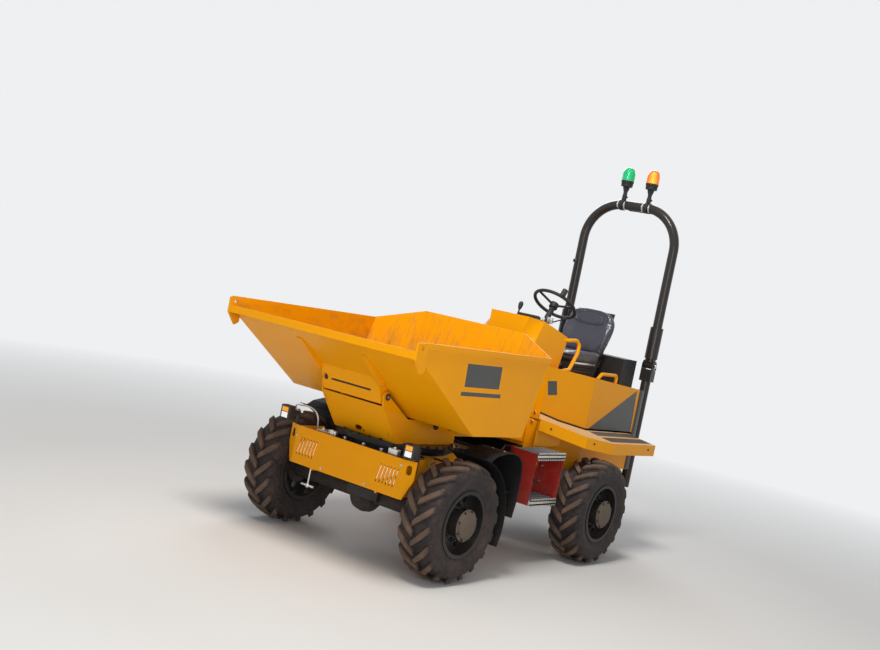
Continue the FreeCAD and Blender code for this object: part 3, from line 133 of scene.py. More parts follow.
def rgba(colour):
    return (*colour[:3], 1.0)


def blend_colour(tree, mask, first, second):
    """First where the mask is 0, second where it is 1."""
    made = put(tree, "ShaderNodeMix", data_type="RGBA")
    sockets = (made.inputs[0], made.inputs[6], made.inputs[7])
    for socket, value in zip(sockets, (mask, first, second)):
        if isinstance(value, bpy.types.NodeSocket):
            tree.links.new(value, socket)
        else:
            socket.default_value = value if isinstance(value, float) else rgba(value)
    return made.outputs[2]


def ramp(tree, value, low, high, to_low=0.0, to_high=1.0):
    made = put(tree, "ShaderNodeMapRange",
               {"Value": value, "From Min": low, "From Max": high, "To Min": to_low, "To Max": to_high})
    made.clamp = True
    return made.outputs["Result"]


def maths(tree, operation, *values):
    made = put(tree, "ShaderNodeMath", operation=operation)
    for socket, value in zip(made.inputs, values):
        if isinstance(value, bpy.types.NodeSocket):
            tree.links.new(value, socket)
        else:
            socket.default_value = value
    return made.outputs[0]


def new_group(name, inputs, outputs):
    """A shader node group: inputs are {label: (type, default)}, outputs are {label: type}."""
    group = bpy.data.node_groups.new(name, "ShaderNodeTree")
    for label, (kind, default) in inputs.items():
        socket = group.interface.new_socket(label, in_out="INPUT", socket_type="NodeSocket" + kind)
        socket.default_value = default
    for label, kind in outputs.items():
        group.interface.new_socket(label, in_out="OUTPUT", socket_type="NodeSocket" + kind)
    return group, group.nodes.new("NodeGroupInput").outputs, group.nodes.new("NodeGroupOutput").inputs


def noise_of(tree, where, scale, detail=3.0, rough=0.5):
    return put(tree, "ShaderNodeTexNoise",
               {"Vector": where, "Scale": scale, "Detail": detail, "Roughness": rough}).outputs["Fac"]


def paint_tone_group():
    """Slow change of tone, and the fine skin of sprayed paint."""
    group, given, out = new_group(
        "Paint tone",
        {"Color": ("Color", (0.5, 0.5, 0.5, 1.0)), "Spread": ("Float", 0.1), "Gloss": ("Float", 0.35),
         "Peel": ("Float", 0.2)},
        {"Color": "Color", "Roughness": "Float", "Height": "Float"},
    )
    where = put(group, "ShaderNodeTexCoord").outputs["Object"]
    broad = noise_of(group, where, 1.7, 3.0)
    patches = noise_of(group, where, 11.0, 5.0, 0.6)
    both = maths(group, "ADD", maths(group, "MULTIPLY", broad, 0.65), maths(group, "MULTIPLY", patches, 0.35))
    swing = maths(group, "MULTIPLY", maths(group, "SUBTRACT", both, 0.5), given["Spread"])
    level = maths(group, "ADD", swing, 1.0)
    toned = put(group, "ShaderNodeVectorMath", {0: given["Color"]}, operation="SCALE")
    group.links.new(level, toned.inputs["Scale"])
    group.links.new(toned.outputs[0], out["Color"])
    rough = maths(group, "ADD", given["Gloss"], maths(group, "MULTIPLY", maths(group, "SUBTRACT", patches, 0.5), 0.35))
    group.links.new(rough, out["Roughness"])
    skin = noise_of(group, where, 420.0, 2.0)
    group.links.new(maths(group, "MULTIPLY", skin, given["Peel"]), out["Height"])
    return group


def edge_wear_group():
    """Rubbed and chipped edges: the mask is 1 where the paint has gone."""
    group, given, out = new_group(
        "Edge wear",
        {"Width": ("Float", 0.004), "Amount": ("Float", 0.5)},
        {"Mask": "Float"},
    )
    where = put(group, "ShaderNodeTexCoord").outputs["Object"]
    rounded = put(group, "ShaderNodeBevel", {"Radius": given["Width"]}, samples=8)
    normal = put(group, "ShaderNodeNewGeometry").outputs["Normal"]
    facing = put(group, "ShaderNodeVectorMath", {0: rounded.outputs[0], 1: normal}, operation="DOT_PRODUCT")
    edge = ramp(group, facing.outputs["Value"], 0.96, 0.80)
    broken = noise_of(group, where, 75.0, 6.0, 0.7)
    places = noise_of(group, where, 6.0, 3.0, 0.6)
    limit = maths(group, "SUBTRACT", 1.02, given["Amount"])
    chance = maths(group, "ADD", maths(group, "MULTIPLY", broken, 0.6), maths(group, "MULTIPLY", places, 0.75))
    chips = ramp(group, maths(group, "SUBTRACT", chance, limit), 0.0, 0.09)
    group.links.new(maths(group, "MULTIPLY", edge, chips), out["Mask"])
    return group


def settled_dust_group():
    """Dry soil: more of it low down and on faces that look up."""
    group, given, out = new_group(
        "Settled dust",
        {"Low": ("Float", 0.2), "High": ("Float", 1.2), "Amount": ("Float", 0.5), "Scale": ("Float", 5.0)},
        {"Mask": "Float", "Height": "Float"},
    )
    coords = put(group, "ShaderNodeTexCoord")
    place = put(group, "ShaderNodeSeparateXYZ", {0: coords.outputs["Object"]})
    face = put(group, "ShaderNodeSeparateXYZ", {0: coords.outputs["Normal"]})
    low_down = put(group, "ShaderNodeMapRange", {"Value": place.outputs["Z"], "From Min": given["High"],
                                                 "From Max": given["Low"]})
    flat = ramp(group, face.outputs["Z"], 0.35, 1.0, 0.0, 0.35)
    cloud = noise_of(group, coords.outputs["Object"], 3.1, 6.0, 0.65)
    speck = put(group, "ShaderNodeTexNoise", {"Vector": coords.outputs["Object"], "Scale": given["Scale"],
                                              "Detail": 8.0, "Roughness": 0.72}).outputs["Fac"]
    amount = maths(group, "MULTIPLY", maths(group, "ADD", low_down.outputs["Result"], flat), given["Amount"])
    texture = maths(group, "ADD", maths(group, "MULTIPLY", cloud, 0.9), maths(group, "MULTIPLY", speck, 0.9))
    mask = maths(group, "MULTIPLY", amount, ramp(group, texture, 0.62, 1.15, 0.1, 1.0))
    group.links.new(ramp(group, mask, 0.0, 1.0), out["Mask"])
    group.links.new(maths(group, "MULTIPLY", mask, speck), out["Height"])
    return group


def grain_group():
    """Fine moulded or cast grain."""
    group, given, out = new_group(
        "Moulded grain",
        {"Scale": ("Float", 300.0), "Depth": ("Float", 1.0)},
        {"Height": "Float"},
    )
    where = put(group, "ShaderNodeTexCoord").outputs["Object"]
    cells = put(group, "ShaderNodeTexVoronoi", {"Vector": where, "Scale": given["Scale"]},
                feature="SMOOTH_F1").outputs["Distance"]
    soft = noise_of(group, where, 90.0, 4.0)
    both = maths(group, "ADD", cells, maths(group, "MULTIPLY", soft, 0.6))
    group.links.new(maths(group, "MULTIPLY", both, given["Depth"]), out["Height"])
    return group


GROUPS = {}


def use(tree, name, **values):
    """Places one of the shared effects in a material with its own values."""
    made = tree.nodes.new("ShaderNodeGroup")
    made.node_tree = GROUPS[name]
    for key, value in values.items():
        if isinstance(value, bpy.types.NodeSocket):
            tree.links.new(value, made.inputs[key])
        else:
            made.inputs[key].default_value = value
    return made.outputs


def blank(name):
    material = bpy.data.materials.new(name)
    material.use_nodes = True
    tree = material.node_tree
    return material, tree, tree.nodes["Principled BSDF"]


def bump(tree, shader, height, distance, strength=0.5):
    made = put(tree, "ShaderNodeBump", {"Height": height, "Distance": distance, "Strength": strength})
    tree.links.new(made.outputs[0], shader.inputs["Normal"])


def painted(name, colour, dust, *, worn=(0.13, 0.085, 0.06), gloss=0.36, spread=0.14, coat=0.04,
            wear=0.34, soil=0.10, high=1.0, peel=0.2, shine=0.14):
    """Sprayed paint with rubbed edges and dust."""
    material, tree, shader = blank(name)
    tone = use(tree, "Paint tone", Color=rgba(colour), Spread=spread, Gloss=gloss, Peel=peel)
    edge = use(tree, "Edge wear", Width=0.0035, Amount=wear)
    film = use(tree, "Settled dust", Low=0.15, High=high, Amount=soil, Scale=22.0)
    rubbed = blend_colour(tree, edge["Mask"], tone["Color"], worn)
    tree.links.new(blend_colour(tree, film["Mask"], rubbed, dust), shader.inputs["Base Color"])
    rough = maths(tree, "ADD", tone["Roughness"],
                  maths(tree, "MULTIPLY", maths(tree, "ADD", film["Mask"], edge["Mask"]), 0.5))
    tree.links.new(rough, shader.inputs["Roughness"])
    shader.inputs["Specular IOR Level"].default_value = shine
    shader.inputs["Specular Tint"].default_value = rgba([0.25 + 0.75 * c / max(colour) for c in colour])
    shader.inputs["Coat Weight"].default_value = coat
    shader.inputs["Coat Roughness"].default_value = 0.12
    height = maths(tree, "SUBTRACT", maths(tree, "ADD", tone["Height"], film["Height"]), edge["Mask"])
    bump(tree, shader, height, 0.0006, 0.35)
    return material


def skip_paint(colour, dust):
    """Body paint, scraped and stained with soil where the load lies."""
    material = painted("Skip paint", colour, dust, soil=0.07)
    tree = material.node_tree
    shader = tree.nodes["Principled BSDF"]
    coords = put(tree, "ShaderNodeTexCoord")
    place = put(tree, "ShaderNodeSeparateXYZ", {0: coords.outputs["Object"]})
    face = put(tree, "ShaderNodeSeparateXYZ", {0: coords.outputs["Normal"]})
    side = maths(tree, "SIGN", place.outputs["Y"])
    wall = maths(tree, "MULTIPLY", side, face.outputs["Y"])
    inner_side = ramp(tree, wall, -0.6, -0.8)
    inner_floor = ramp(tree, face.outputs["Z"], 0.25, 0.45)
    inner_back = maths(tree, "MULTIPLY", ramp(tree, face.outputs["X"], 0.4, 0.6),
                       ramp(tree, place.outputs["X"], 1.0, 0.9))
    inside = maths(tree, "MAXIMUM", maths(tree, "MAXIMUM", inner_side, inner_floor), inner_back)
    under_rim = ramp(tree, place.outputs["Z"], 1.452, 1.42)
    off_lip = ramp(tree, place.outputs["X"], 1.777, 1.76)
    rear_head = maths(tree, "MAXIMUM", under_rim, ramp(tree, place.outputs["X"], 0.52, 0.42, 0.0, 0.9))
    inside = maths(tree, "MULTIPLY", maths(tree, "MULTIPLY", inside, off_lip), rear_head)
    drag = put(tree, "ShaderNodeMapping", {"Vector": coords.outputs["Object"], "Scale": (1.0, 7.0, 1.3)})
    low_in = ramp(tree, place.outputs["Z"], 1.45, 1.05, 0.0, 0.16)
    streaks = maths(tree, "ADD", noise_of(tree, drag.outputs[0], 5.0, 8.0, 0.68), low_in)
    scrape = ramp(tree, streaks, 0.50, 0.86, 0.0, 0.7)
    stain = noise_of(tree, coords.outputs["Object"], 4.0, 6.0, 0.65)
    metal = blend_colour(tree, ramp(tree, stain, 0.35, 0.7), (0.20, 0.085, 0.03), (0.24, 0.17, 0.12))
    worn = maths(tree, "MULTIPLY", inside, scrape)
    base = shader.inputs["Base Color"].links[0].from_socket
    tree.links.new(blend_colour(tree, worn, base, metal), shader.inputs["Base Color"])
    rough = shader.inputs["Roughness"].links[0].from_socket
    tree.links.new(maths(tree, "ADD", rough, maths(tree, "MULTIPLY", worn, 0.3)), shader.inputs["Roughness"])
    return material


def metal(name, colour, rough, *, brushed=(1.0, 1.0, 1.0), stain=(0.18, 0.12, 0.08), soil=0.15):
    """Bare or plated metal with fine brushing and a little staining."""
    material, tree, shader = blank(name)
    coords = put(tree, "ShaderNodeTexCoord").outputs["Object"]
    drag = put(tree, "ShaderNodeMapping", {"Vector": coords, "Scale": brushed}).outputs[0]
    lines = noise_of(tree, drag, 160.0, 4.0, 0.6)
    film = use(tree, "Settled dust", Low=0.1, High=1.4, Amount=soil, Scale=30.0)
    tone = use(tree, "Paint tone", Color=rgba(colour), Spread=0.3, Gloss=rough, Peel=0.0)
    tree.links.new(blend_colour(tree, film["Mask"], tone["Color"], stain), shader.inputs["Base Color"])
    tree.links.new(ramp(tree, film["Mask"], 0.1, 0.7, 1.0, 0.2), shader.inputs["Metallic"])
    level = maths(tree, "ADD", tone["Roughness"], maths(tree, "MULTIPLY", lines, 0.12))
    tree.links.new(level, shader.inputs["Roughness"])
    bump(tree, shader, lines, 0.0002, 0.2)
    return material


def moulded(name, colour, dust, *, rough=0.55, grain=420.0, depth=0.6, soil=0.3, high=1.3, shine=0.4):
    """Plastic or rubber with a moulded grain."""
    material, tree, shader = blank(name)
    tone = use(tree, "Paint tone", Color=rgba(colour), Spread=0.35, Gloss=rough, Peel=0.0)
    film = use(tree, "Settled dust", Low=0.1, High=high, Amount=soil, Scale=25.0)
    skin = use(tree, "Moulded grain", Scale=grain, Depth=depth)
    tree.links.new(blend_colour(tree, film["Mask"], tone["Color"], dust), shader.inputs["Base Color"])
    level = maths(tree, "ADD", tone["Roughness"], maths(tree, "MULTIPLY", film["Mask"], 0.3))
    tree.links.new(level, shader.inputs["Roughness"])
    shader.inputs["Specular IOR Level"].default_value = shine
    bump(tree, shader, maths(tree, "ADD", skin["Height"], film["Height"]), 0.0005, 0.4)
    return material


def tyre_rubber(colour, dust):
    """Rubber with patches of dry soil colour, paler on the lug tops and darker in the grooves. Reads the mesh's own
    tread attribute.
    """
    material, tree, shader = blank("Tyre rubber")
    coords = put(tree, "ShaderNodeTexCoord").outputs["Object"]
    tread = put(tree, "ShaderNodeAttribute", attribute_name="tread").outputs["Fac"]
    cloud = noise_of(tree, coords, 6.0, 6.0, 0.65)
    speck = noise_of(tree, coords, 55.0, 8.0, 0.75)
    smear = noise_of(tree, coords, 19.0, 5.0, 0.6)
    texture = maths(tree, "ADD", maths(tree, "MULTIPLY", cloud, 0.7), maths(tree, "MULTIPLY", speck, 0.45))
    level = maths(tree, "ADD", texture, maths(tree, "MULTIPLY", tread, 0.42))
    mask = ramp(tree, level, 0.54, 1.16, 0.02, 0.88)
    soil = [c * share for c, share in zip(dust, (0.58, 0.50, 0.46))]
    pale = blend_colour(tree, ramp(tree, smear, 0.35, 0.65), soil, [c * 1.4 for c in soil])
    aged = blend_colour(tree, ramp(tree, speck, 0.3, 0.7), colour, [c * 1.9 for c in colour])
    tree.links.new(blend_colour(tree, mask, aged, pale), shader.inputs["Base Color"])
    tree.links.new(ramp(tree, mask, 0.0, 0.6, 0.62, 0.95), shader.inputs["Roughness"])
    shader.inputs["Specular IOR Level"].default_value = 0.2
    height = maths(tree, "ADD", maths(tree, "MULTIPLY", speck, 1.0), maths(tree, "MULTIPLY", cloud, 0.5))
    bump(tree, shader, height, 0.0022, 0.45)
    return material


def lens(name, colour, glow, *, bands=260.0, clear=0.35, painted_highlight=None):
    """Moulded lens with fine optic ribs and a faint painted glow. Where the lens is seen square on it takes a brighter
    colour, a painted highlight.
    """
    material, tree, shader = blank(name)
    coords = put(tree, "ShaderNodeTexCoord").outputs["Object"]
    place = put(tree, "ShaderNodeSeparateXYZ", {0: coords})
    ribs = maths(tree, "SINE", maths(tree, "MULTIPLY", place.outputs["Z"], bands * 2.0 * pi))
    cloud = noise_of(tree, coords, 30.0, 3.0)
    tint = blend_colour(tree, ramp(tree, cloud, 0.3, 0.7), colour, [min(1.0, c * 1.25 + 0.01) for c in colour])
    if painted_highlight:
        # painted highlight: a brighter colour where the lens faces the view, which also glows
        facing = put(tree, "ShaderNodeLayerWeight", {"Blend": 0.5}).outputs["Facing"]
        tint = blend_colour(tree, ramp(tree, facing, 0.04, 0.40), painted_highlight, tint)
        tree.links.new(tint, shader.inputs["Emission Color"])
    tree.links.new(tint, shader.inputs["Base Color"])
    tree.links.new(ramp(tree, cloud, 0.2, 0.8, 0.08, 0.22), shader.inputs["Roughness"])
    shader.inputs["Transmission Weight"].default_value = clear
    shader.inputs["IOR"].default_value = 1.49
    # the glow set here is painted light
    shader.inputs["Emission Color"].default_value = rgba(colour)
    shader.inputs["Emission Strength"].default_value = glow
    bump(tree, shader, ribs, 0.0005, 0.35)
    return material


def vinyl(colour, dust):
    """Moulded seat skin: leather grain, and a bare raised oval on the back."""
    material, tree, shader = blank("Seat vinyl")
    coords = put(tree, "ShaderNodeTexCoord").outputs["Object"]
    tone = use(tree, "Paint tone", Color=rgba(colour), Spread=0.3, Gloss=0.36, Peel=0.0)
    film = use(tree, "Settled dust", Low=1.2, High=2.1, Amount=0.25, Scale=40.0)
    tree.links.new(blend_colour(tree, film["Mask"], tone["Color"], [c * 0.8 for c in dust]),
                   shader.inputs["Base Color"])
    tree.links.new(tone["Roughness"], shader.inputs["Roughness"])
    shader.inputs["Sheen Weight"].default_value = 0.06
    shader.inputs["Coat Weight"].default_value = 0.1
    skin = use(tree, "Moulded grain", Scale=260.0, Depth=0.06)
    place = put(tree, "ShaderNodeSeparateXYZ", {0: coords})
    across = maths(tree, "DIVIDE", place.outputs["Y"], 0.150)
    up = maths(tree, "DIVIDE", maths(tree, "SUBTRACT", place.outputs["Z"], 1.753), 0.056)
    shape = maths(tree, "POWER", maths(tree, "ADD", maths(tree, "POWER", maths(tree, "ABSOLUTE", across), 2.6),
                                       maths(tree, "POWER", maths(tree, "ABSOLUTE", up), 2.6)), 0.3846)
    outer = ramp(tree, maths(tree, "ABSOLUTE", maths(tree, "SUBTRACT", shape, 1.0)), 0.03, 0.10, -2.6, 0.0)
    inner = ramp(tree, maths(tree, "ABSOLUTE", maths(tree, "SUBTRACT", shape, 0.78)), 0.03, 0.09, -1.6, 0.0)
    ring = maths(tree, "ADD", outer, inner)
    pad = ramp(tree, shape, 0.94, 0.80, 0.0, 0.7)
    front = ramp(tree, put(tree, "ShaderNodeSeparateXYZ",
                           {0: put(tree, "ShaderNodeTexCoord").outputs["Normal"]}).outputs["X"], 0.5, 0.8)
    emboss = maths(tree, "MULTIPLY", maths(tree, "ADD", ring, pad), front)
    bump(tree, shader, maths(tree, "ADD", emboss, skin["Height"]), 0.0040, 1.0)
    return material


MATERIALS = {}


def mix_finishes(colours):
    """Makes every finish once, named after the record's slots where it has one."""
    dust = tuple(colours.dust)
    black = tuple(colours.black)
    MATERIALS.update({
        "yellow_paint": painted("Yellow paint", colours.yellow, dust),
        "skip_paint": skip_paint(colours.yellow, dust),
        # pale cream patches over the board: dust, and partly a painted highlight of the sunlit top
        "board_dust_and_highlight": painted("Board paint with dust and painted highlight", colours.yellow, (0.62, 0.52, 0.36), soil=0.9, high=3.0),
        "black_paint": painted("Black paint", black, dust, worn=(0.10, 0.085, 0.075), gloss=0.4,
                               spread=0.5, soil=0.14, coat=0.2, high=0.7, wear=0.3),
        "grey_tube": painted("Hoop paint", colours.tube, dust, worn=(0.16, 0.15, 0.145), gloss=0.3,
                             spread=0.35, soil=0.22, coat=0.35, wear=0.25),
        "red_paint": painted("Red paint", colours.red, dust, worn=(0.12, 0.07, 0.05), soil=0.55,
                             high=1.0, wear=0.5),
        "bare_steel": metal("Bare steel", (0.50, 0.49, 0.47), 0.30),
        "chrome_rod": metal("Chromed rod", (0.80, 0.80, 0.82), 0.10, soil=0.08),
        "zinc_tread": metal("Galvanised tread", (0.62, 0.60, 0.56), 0.42, stain=(0.40, 0.34, 0.26), soil=0.6),
        # tops of the step treads: the galvanised metal darkened as painted shade, with some dirt
        "shaded_tread_top": metal("Tread top in painted shade", (0.20, 0.20, 0.215), 0.5, stain=(0.10, 0.09, 0.08), soil=0.7),
        "bright_zinc": metal("Zinc plated fixings", (0.66, 0.66, 0.64), 0.28, soil=0.2),
        "cast_parts": painted("Cast parts", (0.022, 0.021, 0.021), dust, worn=(0.09, 0.075, 0.06), gloss=0.6,
                              spread=0.6, soil=0.34, coat=0.0, high=0.6, peel=2.5),
        "hub_cover": painted("Hub cover", (0.10, 0.080, 0.060), dust, worn=(0.20, 0.17, 0.14), gloss=0.55,
                             spread=0.5, soil=0.4, coat=0.0, high=1.0, peel=1.5),
        "black_plastic": moulded("Black plastic", (0.014, 0.014, 0.015), dust, soil=0.35),
        "guard_rubber": moulded("Mudguard rubber", (0.009, 0.009, 0.010), dust, rough=0.66, grain=160.0, soil=0.12,
                                high=0.7, shine=0.12),
        "tyre_rubber": tyre_rubber(tuple(colours.rubber), dust),
        "vinyl": vinyl(tuple(colours.vinyl), dust),
        # the glow given to these lenses and bulbs is painted light
        "green_lens": lens("Green lens", tuple(colours.green), 0.06, clear=0.2, painted_highlight=(0.01, 0.62, 0.26)),
        "amber_lens": lens("Amber lens", tuple(colours.amber), 0.10, clear=0.2, painted_highlight=(1.0, 0.58, 0.03)),
        "side_amber": lens("Side lamp amber", (0.95, 0.36, 0.01), 0.25, clear=0.1),
        "side_clear": lens("Side lamp clear", (0.90, 0.91, 0.92), 0.30, clear=0.1),
        "green_lamp": lens("Green lamp", (0.30, 0.90, 0.45), 0.25, clear=0.0),
        "amber_lamp": lens("Amber lamp", (1.0, 0.62, 0.10), 0.6, clear=0.0),
        "red_lens": lens("Red lens", (0.42, 0.006, 0.006), 0.0, clear=0.2),
        "clear_lens": lens("Clear lens", (0.92, 0.93, 0.93), 0.0, clear=0.75),
        # pale glowing bands behind the headlamp louvres: painted reflection
        "headlamp_painted_reflection": lens("Headlamp painted reflection", (0.85, 0.83, 0.78), 0.35, clear=0.0),
        "lamp_face": metal("Lamp reflector", (0.86, 0.86, 0.85), 0.08, soil=0.05),
        "panel_film": moulded("Blank panel film", tuple(colours.panel), dust, rough=0.38, grain=900.0, depth=0.05,
                              soil=0.12, high=2.0),
        # dark anti-slip strips, also the painted shadow in the gap along the board
        "grip_and_gap_shadow": moulded("Anti-slip strip and gap shadow", (0.045, 0.044, 0.043), dust, rough=0.85, grain=700.0, depth=3.5,
                              soil=0.5, high=1.6),
    })


# Shapes
def cuboid(low, high, bevel=0.0, segments=2):
    """A box between two corners with rounded edges."""
    bm = bmesh.new()
    size = Vector(high) - Vector(low)
    bmesh.ops.create_cube(bm, size=1.0)
    bmesh.ops.scale(bm, vec=size, verts=bm.verts)
    bmesh.ops.translate(bm, vec=(Vector(high) + Vector(low)) / 2, verts=bm.verts)
    if bevel:
        bmesh.ops.bevel(bm, geom=list(bm.edges), offset=bevel, segments=segments, profile=0.5,
                        affect="EDGES", material=-1)
    return bm


def drum(radius, height, bevel=0.0, sides=32, top_radius=None):
    """A disc or rod that stands on the origin along Z."""
    bm = bmesh.new()
    bmesh.ops.create_cone(bm, cap_ends=True, segments=sides, radius1=radius,
                          radius2=radius if top_radius is None else top_radius, depth=height)
    bmesh.ops.translate(bm, vec=(0, 0, height / 2), verts=bm.verts)
    if bevel:
        rims = [e for e in bm.edges if abs(e.verts[0].co.z - e.verts[1].co.z) < height * 0.01]
        bmesh.ops.bevel(bm, geom=rims, offset=bevel, segments=2, profile=0.5, affect="EDGES", material=-1)
    return bm


def turned(outline, steps=48, closed=False):
    """An outline of (radius, height) pairs turned about Z."""
    bm = bmesh.new()
    verts = [bm.verts.new((r, 0, z)) for r, z in outline]
    pairs = list(zip(verts, verts[1:]))
    if closed:
        pairs.append((verts[-1], verts[0]))
    edges = [bm.edges.new(pair) for pair in pairs]
    bmesh.ops.spin(bm, geom=verts + edges, axis=(0, 0, 1), cent=(0, 0, 0), angle=2 * pi, steps=steps,
                   use_merge=True)
    bmesh.ops.remove_doubles(bm, verts=bm.verts, dist=1e-6)
    bmesh.ops.recalc_face_normals(bm, faces=bm.faces)
    return bm


def plate(outline, thickness, bevel=0.0):
    """A flat outline of (x, y) corners, thickened along Z."""
    bm = bmesh.new()
    face = bm.faces.new([bm.verts.new((x, y, 0)) for x, y in outline])
    grown = bmesh.ops.extrude_face_region(bm, geom=[face])
    top = [v for v in grown["geom"] if isinstance(v, bmesh.types.BMVert)]
    bmesh.ops.translate(bm, vec=(0, 0, thickness), verts=top)
    bmesh.ops.recalc_face_normals(bm, faces=bm.faces)
    if bevel:
        bmesh.ops.bevel(bm, geom=list(bm.edges), offset=bevel, segments=2, profile=0.5,
                        affect="EDGES", material=-1)
    return bm


def hex_bolt(across, height):
    """A hexagon head on its washer, standing on the origin along Z."""
    bm = drum(across * 0.62, across * 0.10, sides=20)
    head = drum(across / 2 / cos(pi / 6), height, bevel=across * 0.06, sides=6)
    head.transform(Matrix.Translation((0, 0, across * 0.09)))
    return joined(bm, head)


def joined(*shapes):
    """Several bmeshes as one."""
    first = shapes[0]
    for shape in shapes[1:]:
        mesh = bpy.data.meshes.new("joined")
        shape.to_mesh(mesh)
        shape.free()
        first.from_mesh(mesh)
        bpy.data.meshes.remove(mesh)
    return first


def with_finish(shape, index):
    for face in shape.faces:
        face.material_index = index
    return shape


def aimed(origin, direction, roll=0.0):
    """A place at origin whose Z looks along direction."""
    way = Vector(direction).normalized().to_track_quat("Z", "Y").to_matrix().to_4x4()
    return Matrix.Translation(origin) @ way @ Matrix.Rotation(roll, 4, "Z")


def placed(shape, place):
    shape.transform(place)
    return shape


def rod_along(points, radius, closed=False, resolution=6):
    """A round tube along a smooth line through a few points."""
    curve = bpy.data.curves.new("rod", "CURVE")
    curve.dimensions = "3D"
    curve.bevel_depth = radius
    curve.bevel_resolution = 3
    curve.resolution_u = resolution
    curve.use_fill_caps = not closed
    spline = curve.splines.new("BEZIER")
    spline.bezier_points.add(len(points) - 1)
    for spot, point in zip(points, spline.bezier_points):
        point.co = spot
        point.handle_left_type = "AUTO"
        point.handle_right_type = "AUTO"
    spline.use_cyclic_u = closed
    holder = bpy.data.objects.new("rod", curve)
    mesh = bpy.data.meshes.new_from_object(holder)
    bm = bmesh.new()
    bm.from_mesh(mesh)
    bpy.data.meshes.remove(mesh)
    bpy.data.objects.remove(holder)
    bpy.data.curves.remove(curve)
    bmesh.ops.remove_doubles(bm, verts=bm.verts, dist=1e-6)
    bmesh.ops.recalc_face_normals(bm, faces=bm.faces)
    return bm


def finish_piece(name, bm, body, *finishes, smooth=35.0, slot=None):
    """Makes the piece's object, gives it its finishes and lets it ride on a body."""
    mesh = bpy.data.meshes.new(name)
    bm.to_mesh(mesh)
    bm.free()
    for key in finishes:
        mesh.materials.append(MATERIALS[key])
    mesh.polygons.foreach_set("use_smooth", [True] * len(mesh.polygons))
    mesh.set_sharp_from_angle(angle=radians(smooth))
    piece = bpy.data.objects.new(name, mesh)
    bpy.context.collection.objects.link(piece)
    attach(piece, body)
    return piece


# Tyres
def carcass(sizes):
    """The tyre without its lugs, about Z, from bead to bead."""
    groove = sizes.groove_radius
    half = [
        (0.1966, 0.100), (0.1966, 0.1084), (0.2132, 0.1084), (0.2180, 0.1118), (0.2240, 0.1140),
        (0.2262, 0.1168), (0.2300, 0.1176), (0.2340, 0.1165), (0.2480, 0.1212), (0.2660, 0.1262),
        (0.2820, 0.1288), (0.2960, 0.1292), (0.3000, 0.1276), (0.3030, 0.1288), (0.3160, 0.1268),
        (0.3270, 0.1215), (groove - 0.016, 0.1130), (groove - 0.008, 0.098), (groove - 0.003, 0.070),
        (groove, 0.035), (groove, 0.0),
    ]
    mirrored = [(r, -y) for r, y in reversed(half[:-1])]
    return turned(half + mirrored, steps=96, closed=True)


def lug(sizes):
    """One lug from the middle of the tread to the shoulder and down the sidewall."""
    groove = sizes.groove_radius
    wide = sizes.lug_width
    # place along the lug: across, top radius, foot radius, turn, width
    stations = [
        (-0.004, 0.3795, groove - 0.006, -0.02, wide * 0.80),
        (0.022, 0.3800, groove - 0.006, 0.18, wide * 0.92),
        (0.055, 0.3798, groove - 0.006, 0.45, wide),
        (0.086, 0.3735, groove - 0.010, 0.73, wide * 1.08),
        (0.108, 0.3665, groove - 0.016, 0.96, wide * 1.16),
        (0.1205, 0.3480, groove - 0.028, 1.06, wide * 1.14),
        (0.1268, 0.3270, groove - 0.050, 1.10, wide * 1.04),
        (0.1290, 0.3060, groove - 0.068, 1.12, wide * 0.80),
    ]
    bm = bmesh.new()
    bmesh.ops.create_cube(bm, size=1.0)
    along = [e for e in bm.edges if abs(e.verts[0].co.x - e.verts[1].co.x) > 0.5]
    bmesh.ops.subdivide_edges(bm, edges=along, cuts=len(stations) - 2, use_grid_fill=True)
    last = len(stations) - 1
    for vert in bm.verts:
        across, top, foot, turn, width = stations[round((vert.co.x + 0.5) * last)]
        up = vert.co.z > 0
        radius = top if up else foot
        y = across if up else across * 0.94
        half = width * (0.5 if up else 0.66) * (1 if vert.co.y > 0 else -1)
        slant = half / 0.37 * (1.25 if across < 0.11 else 1.0)
        angle = sizes.sweep * turn + slant
        vert.co = (radius * cos(angle), radius * sin(angle), y)
    bmesh.ops.recalc_face_normals(bm, faces=bm.faces)
    sharp = [e for e in bm.edges if e.is_manifold and e.calc_face_angle() > radians(40)]
    bmesh.ops.bevel(bm, geom=sharp, offset=0.0035, segments=2, profile=0.5, affect="EDGES", material=-1)
    return bm


def tyre_shape(sizes, side):
    """Carcass and both rows of lugs, in place about Y with the outer side towards side."""
    one = bpy.data.meshes.new("lug")
    shape = lug(sizes)
    shape.to_mesh(one)
    shape.free()
    bm = carcass(sizes)
    for i in range(sizes.lugs):
        for row, offset in ((1, 0.0), (-1, 0.5)):
            start = len(bm.verts)
            bm.from_mesh(one)
            bm.verts.ensure_lookup_table()
            turn = Matrix.Rotation(2 * pi * (i + offset) / sizes.lugs, 4, "Z")
            flip = Matrix.Diagonal((1, 1, row, 1))
            bmesh.ops.transform(bm, matrix=turn @ flip, verts=bm.verts[start:])
    bpy.data.meshes.remove(one)
    tread = bm.verts.layers.float.new("tread")
    for vert in bm.verts:
        radius = hypot(vert.co.x, vert.co.y)
        vert[tread] = min(1.0, max(0.0, (radius - 0.358) / 0.010))
    # Z becomes the axle's outer direction, and turning forward leads with the lugs' inner ends
    bm.transform(Matrix(((1, 0, 0, 0), (0, 0, side, 0), (0, 1, 0, 0), (0, 0, 0, 1))))
    bmesh.ops.recalc_face_normals(bm, faces=bm.faces)
    return bm


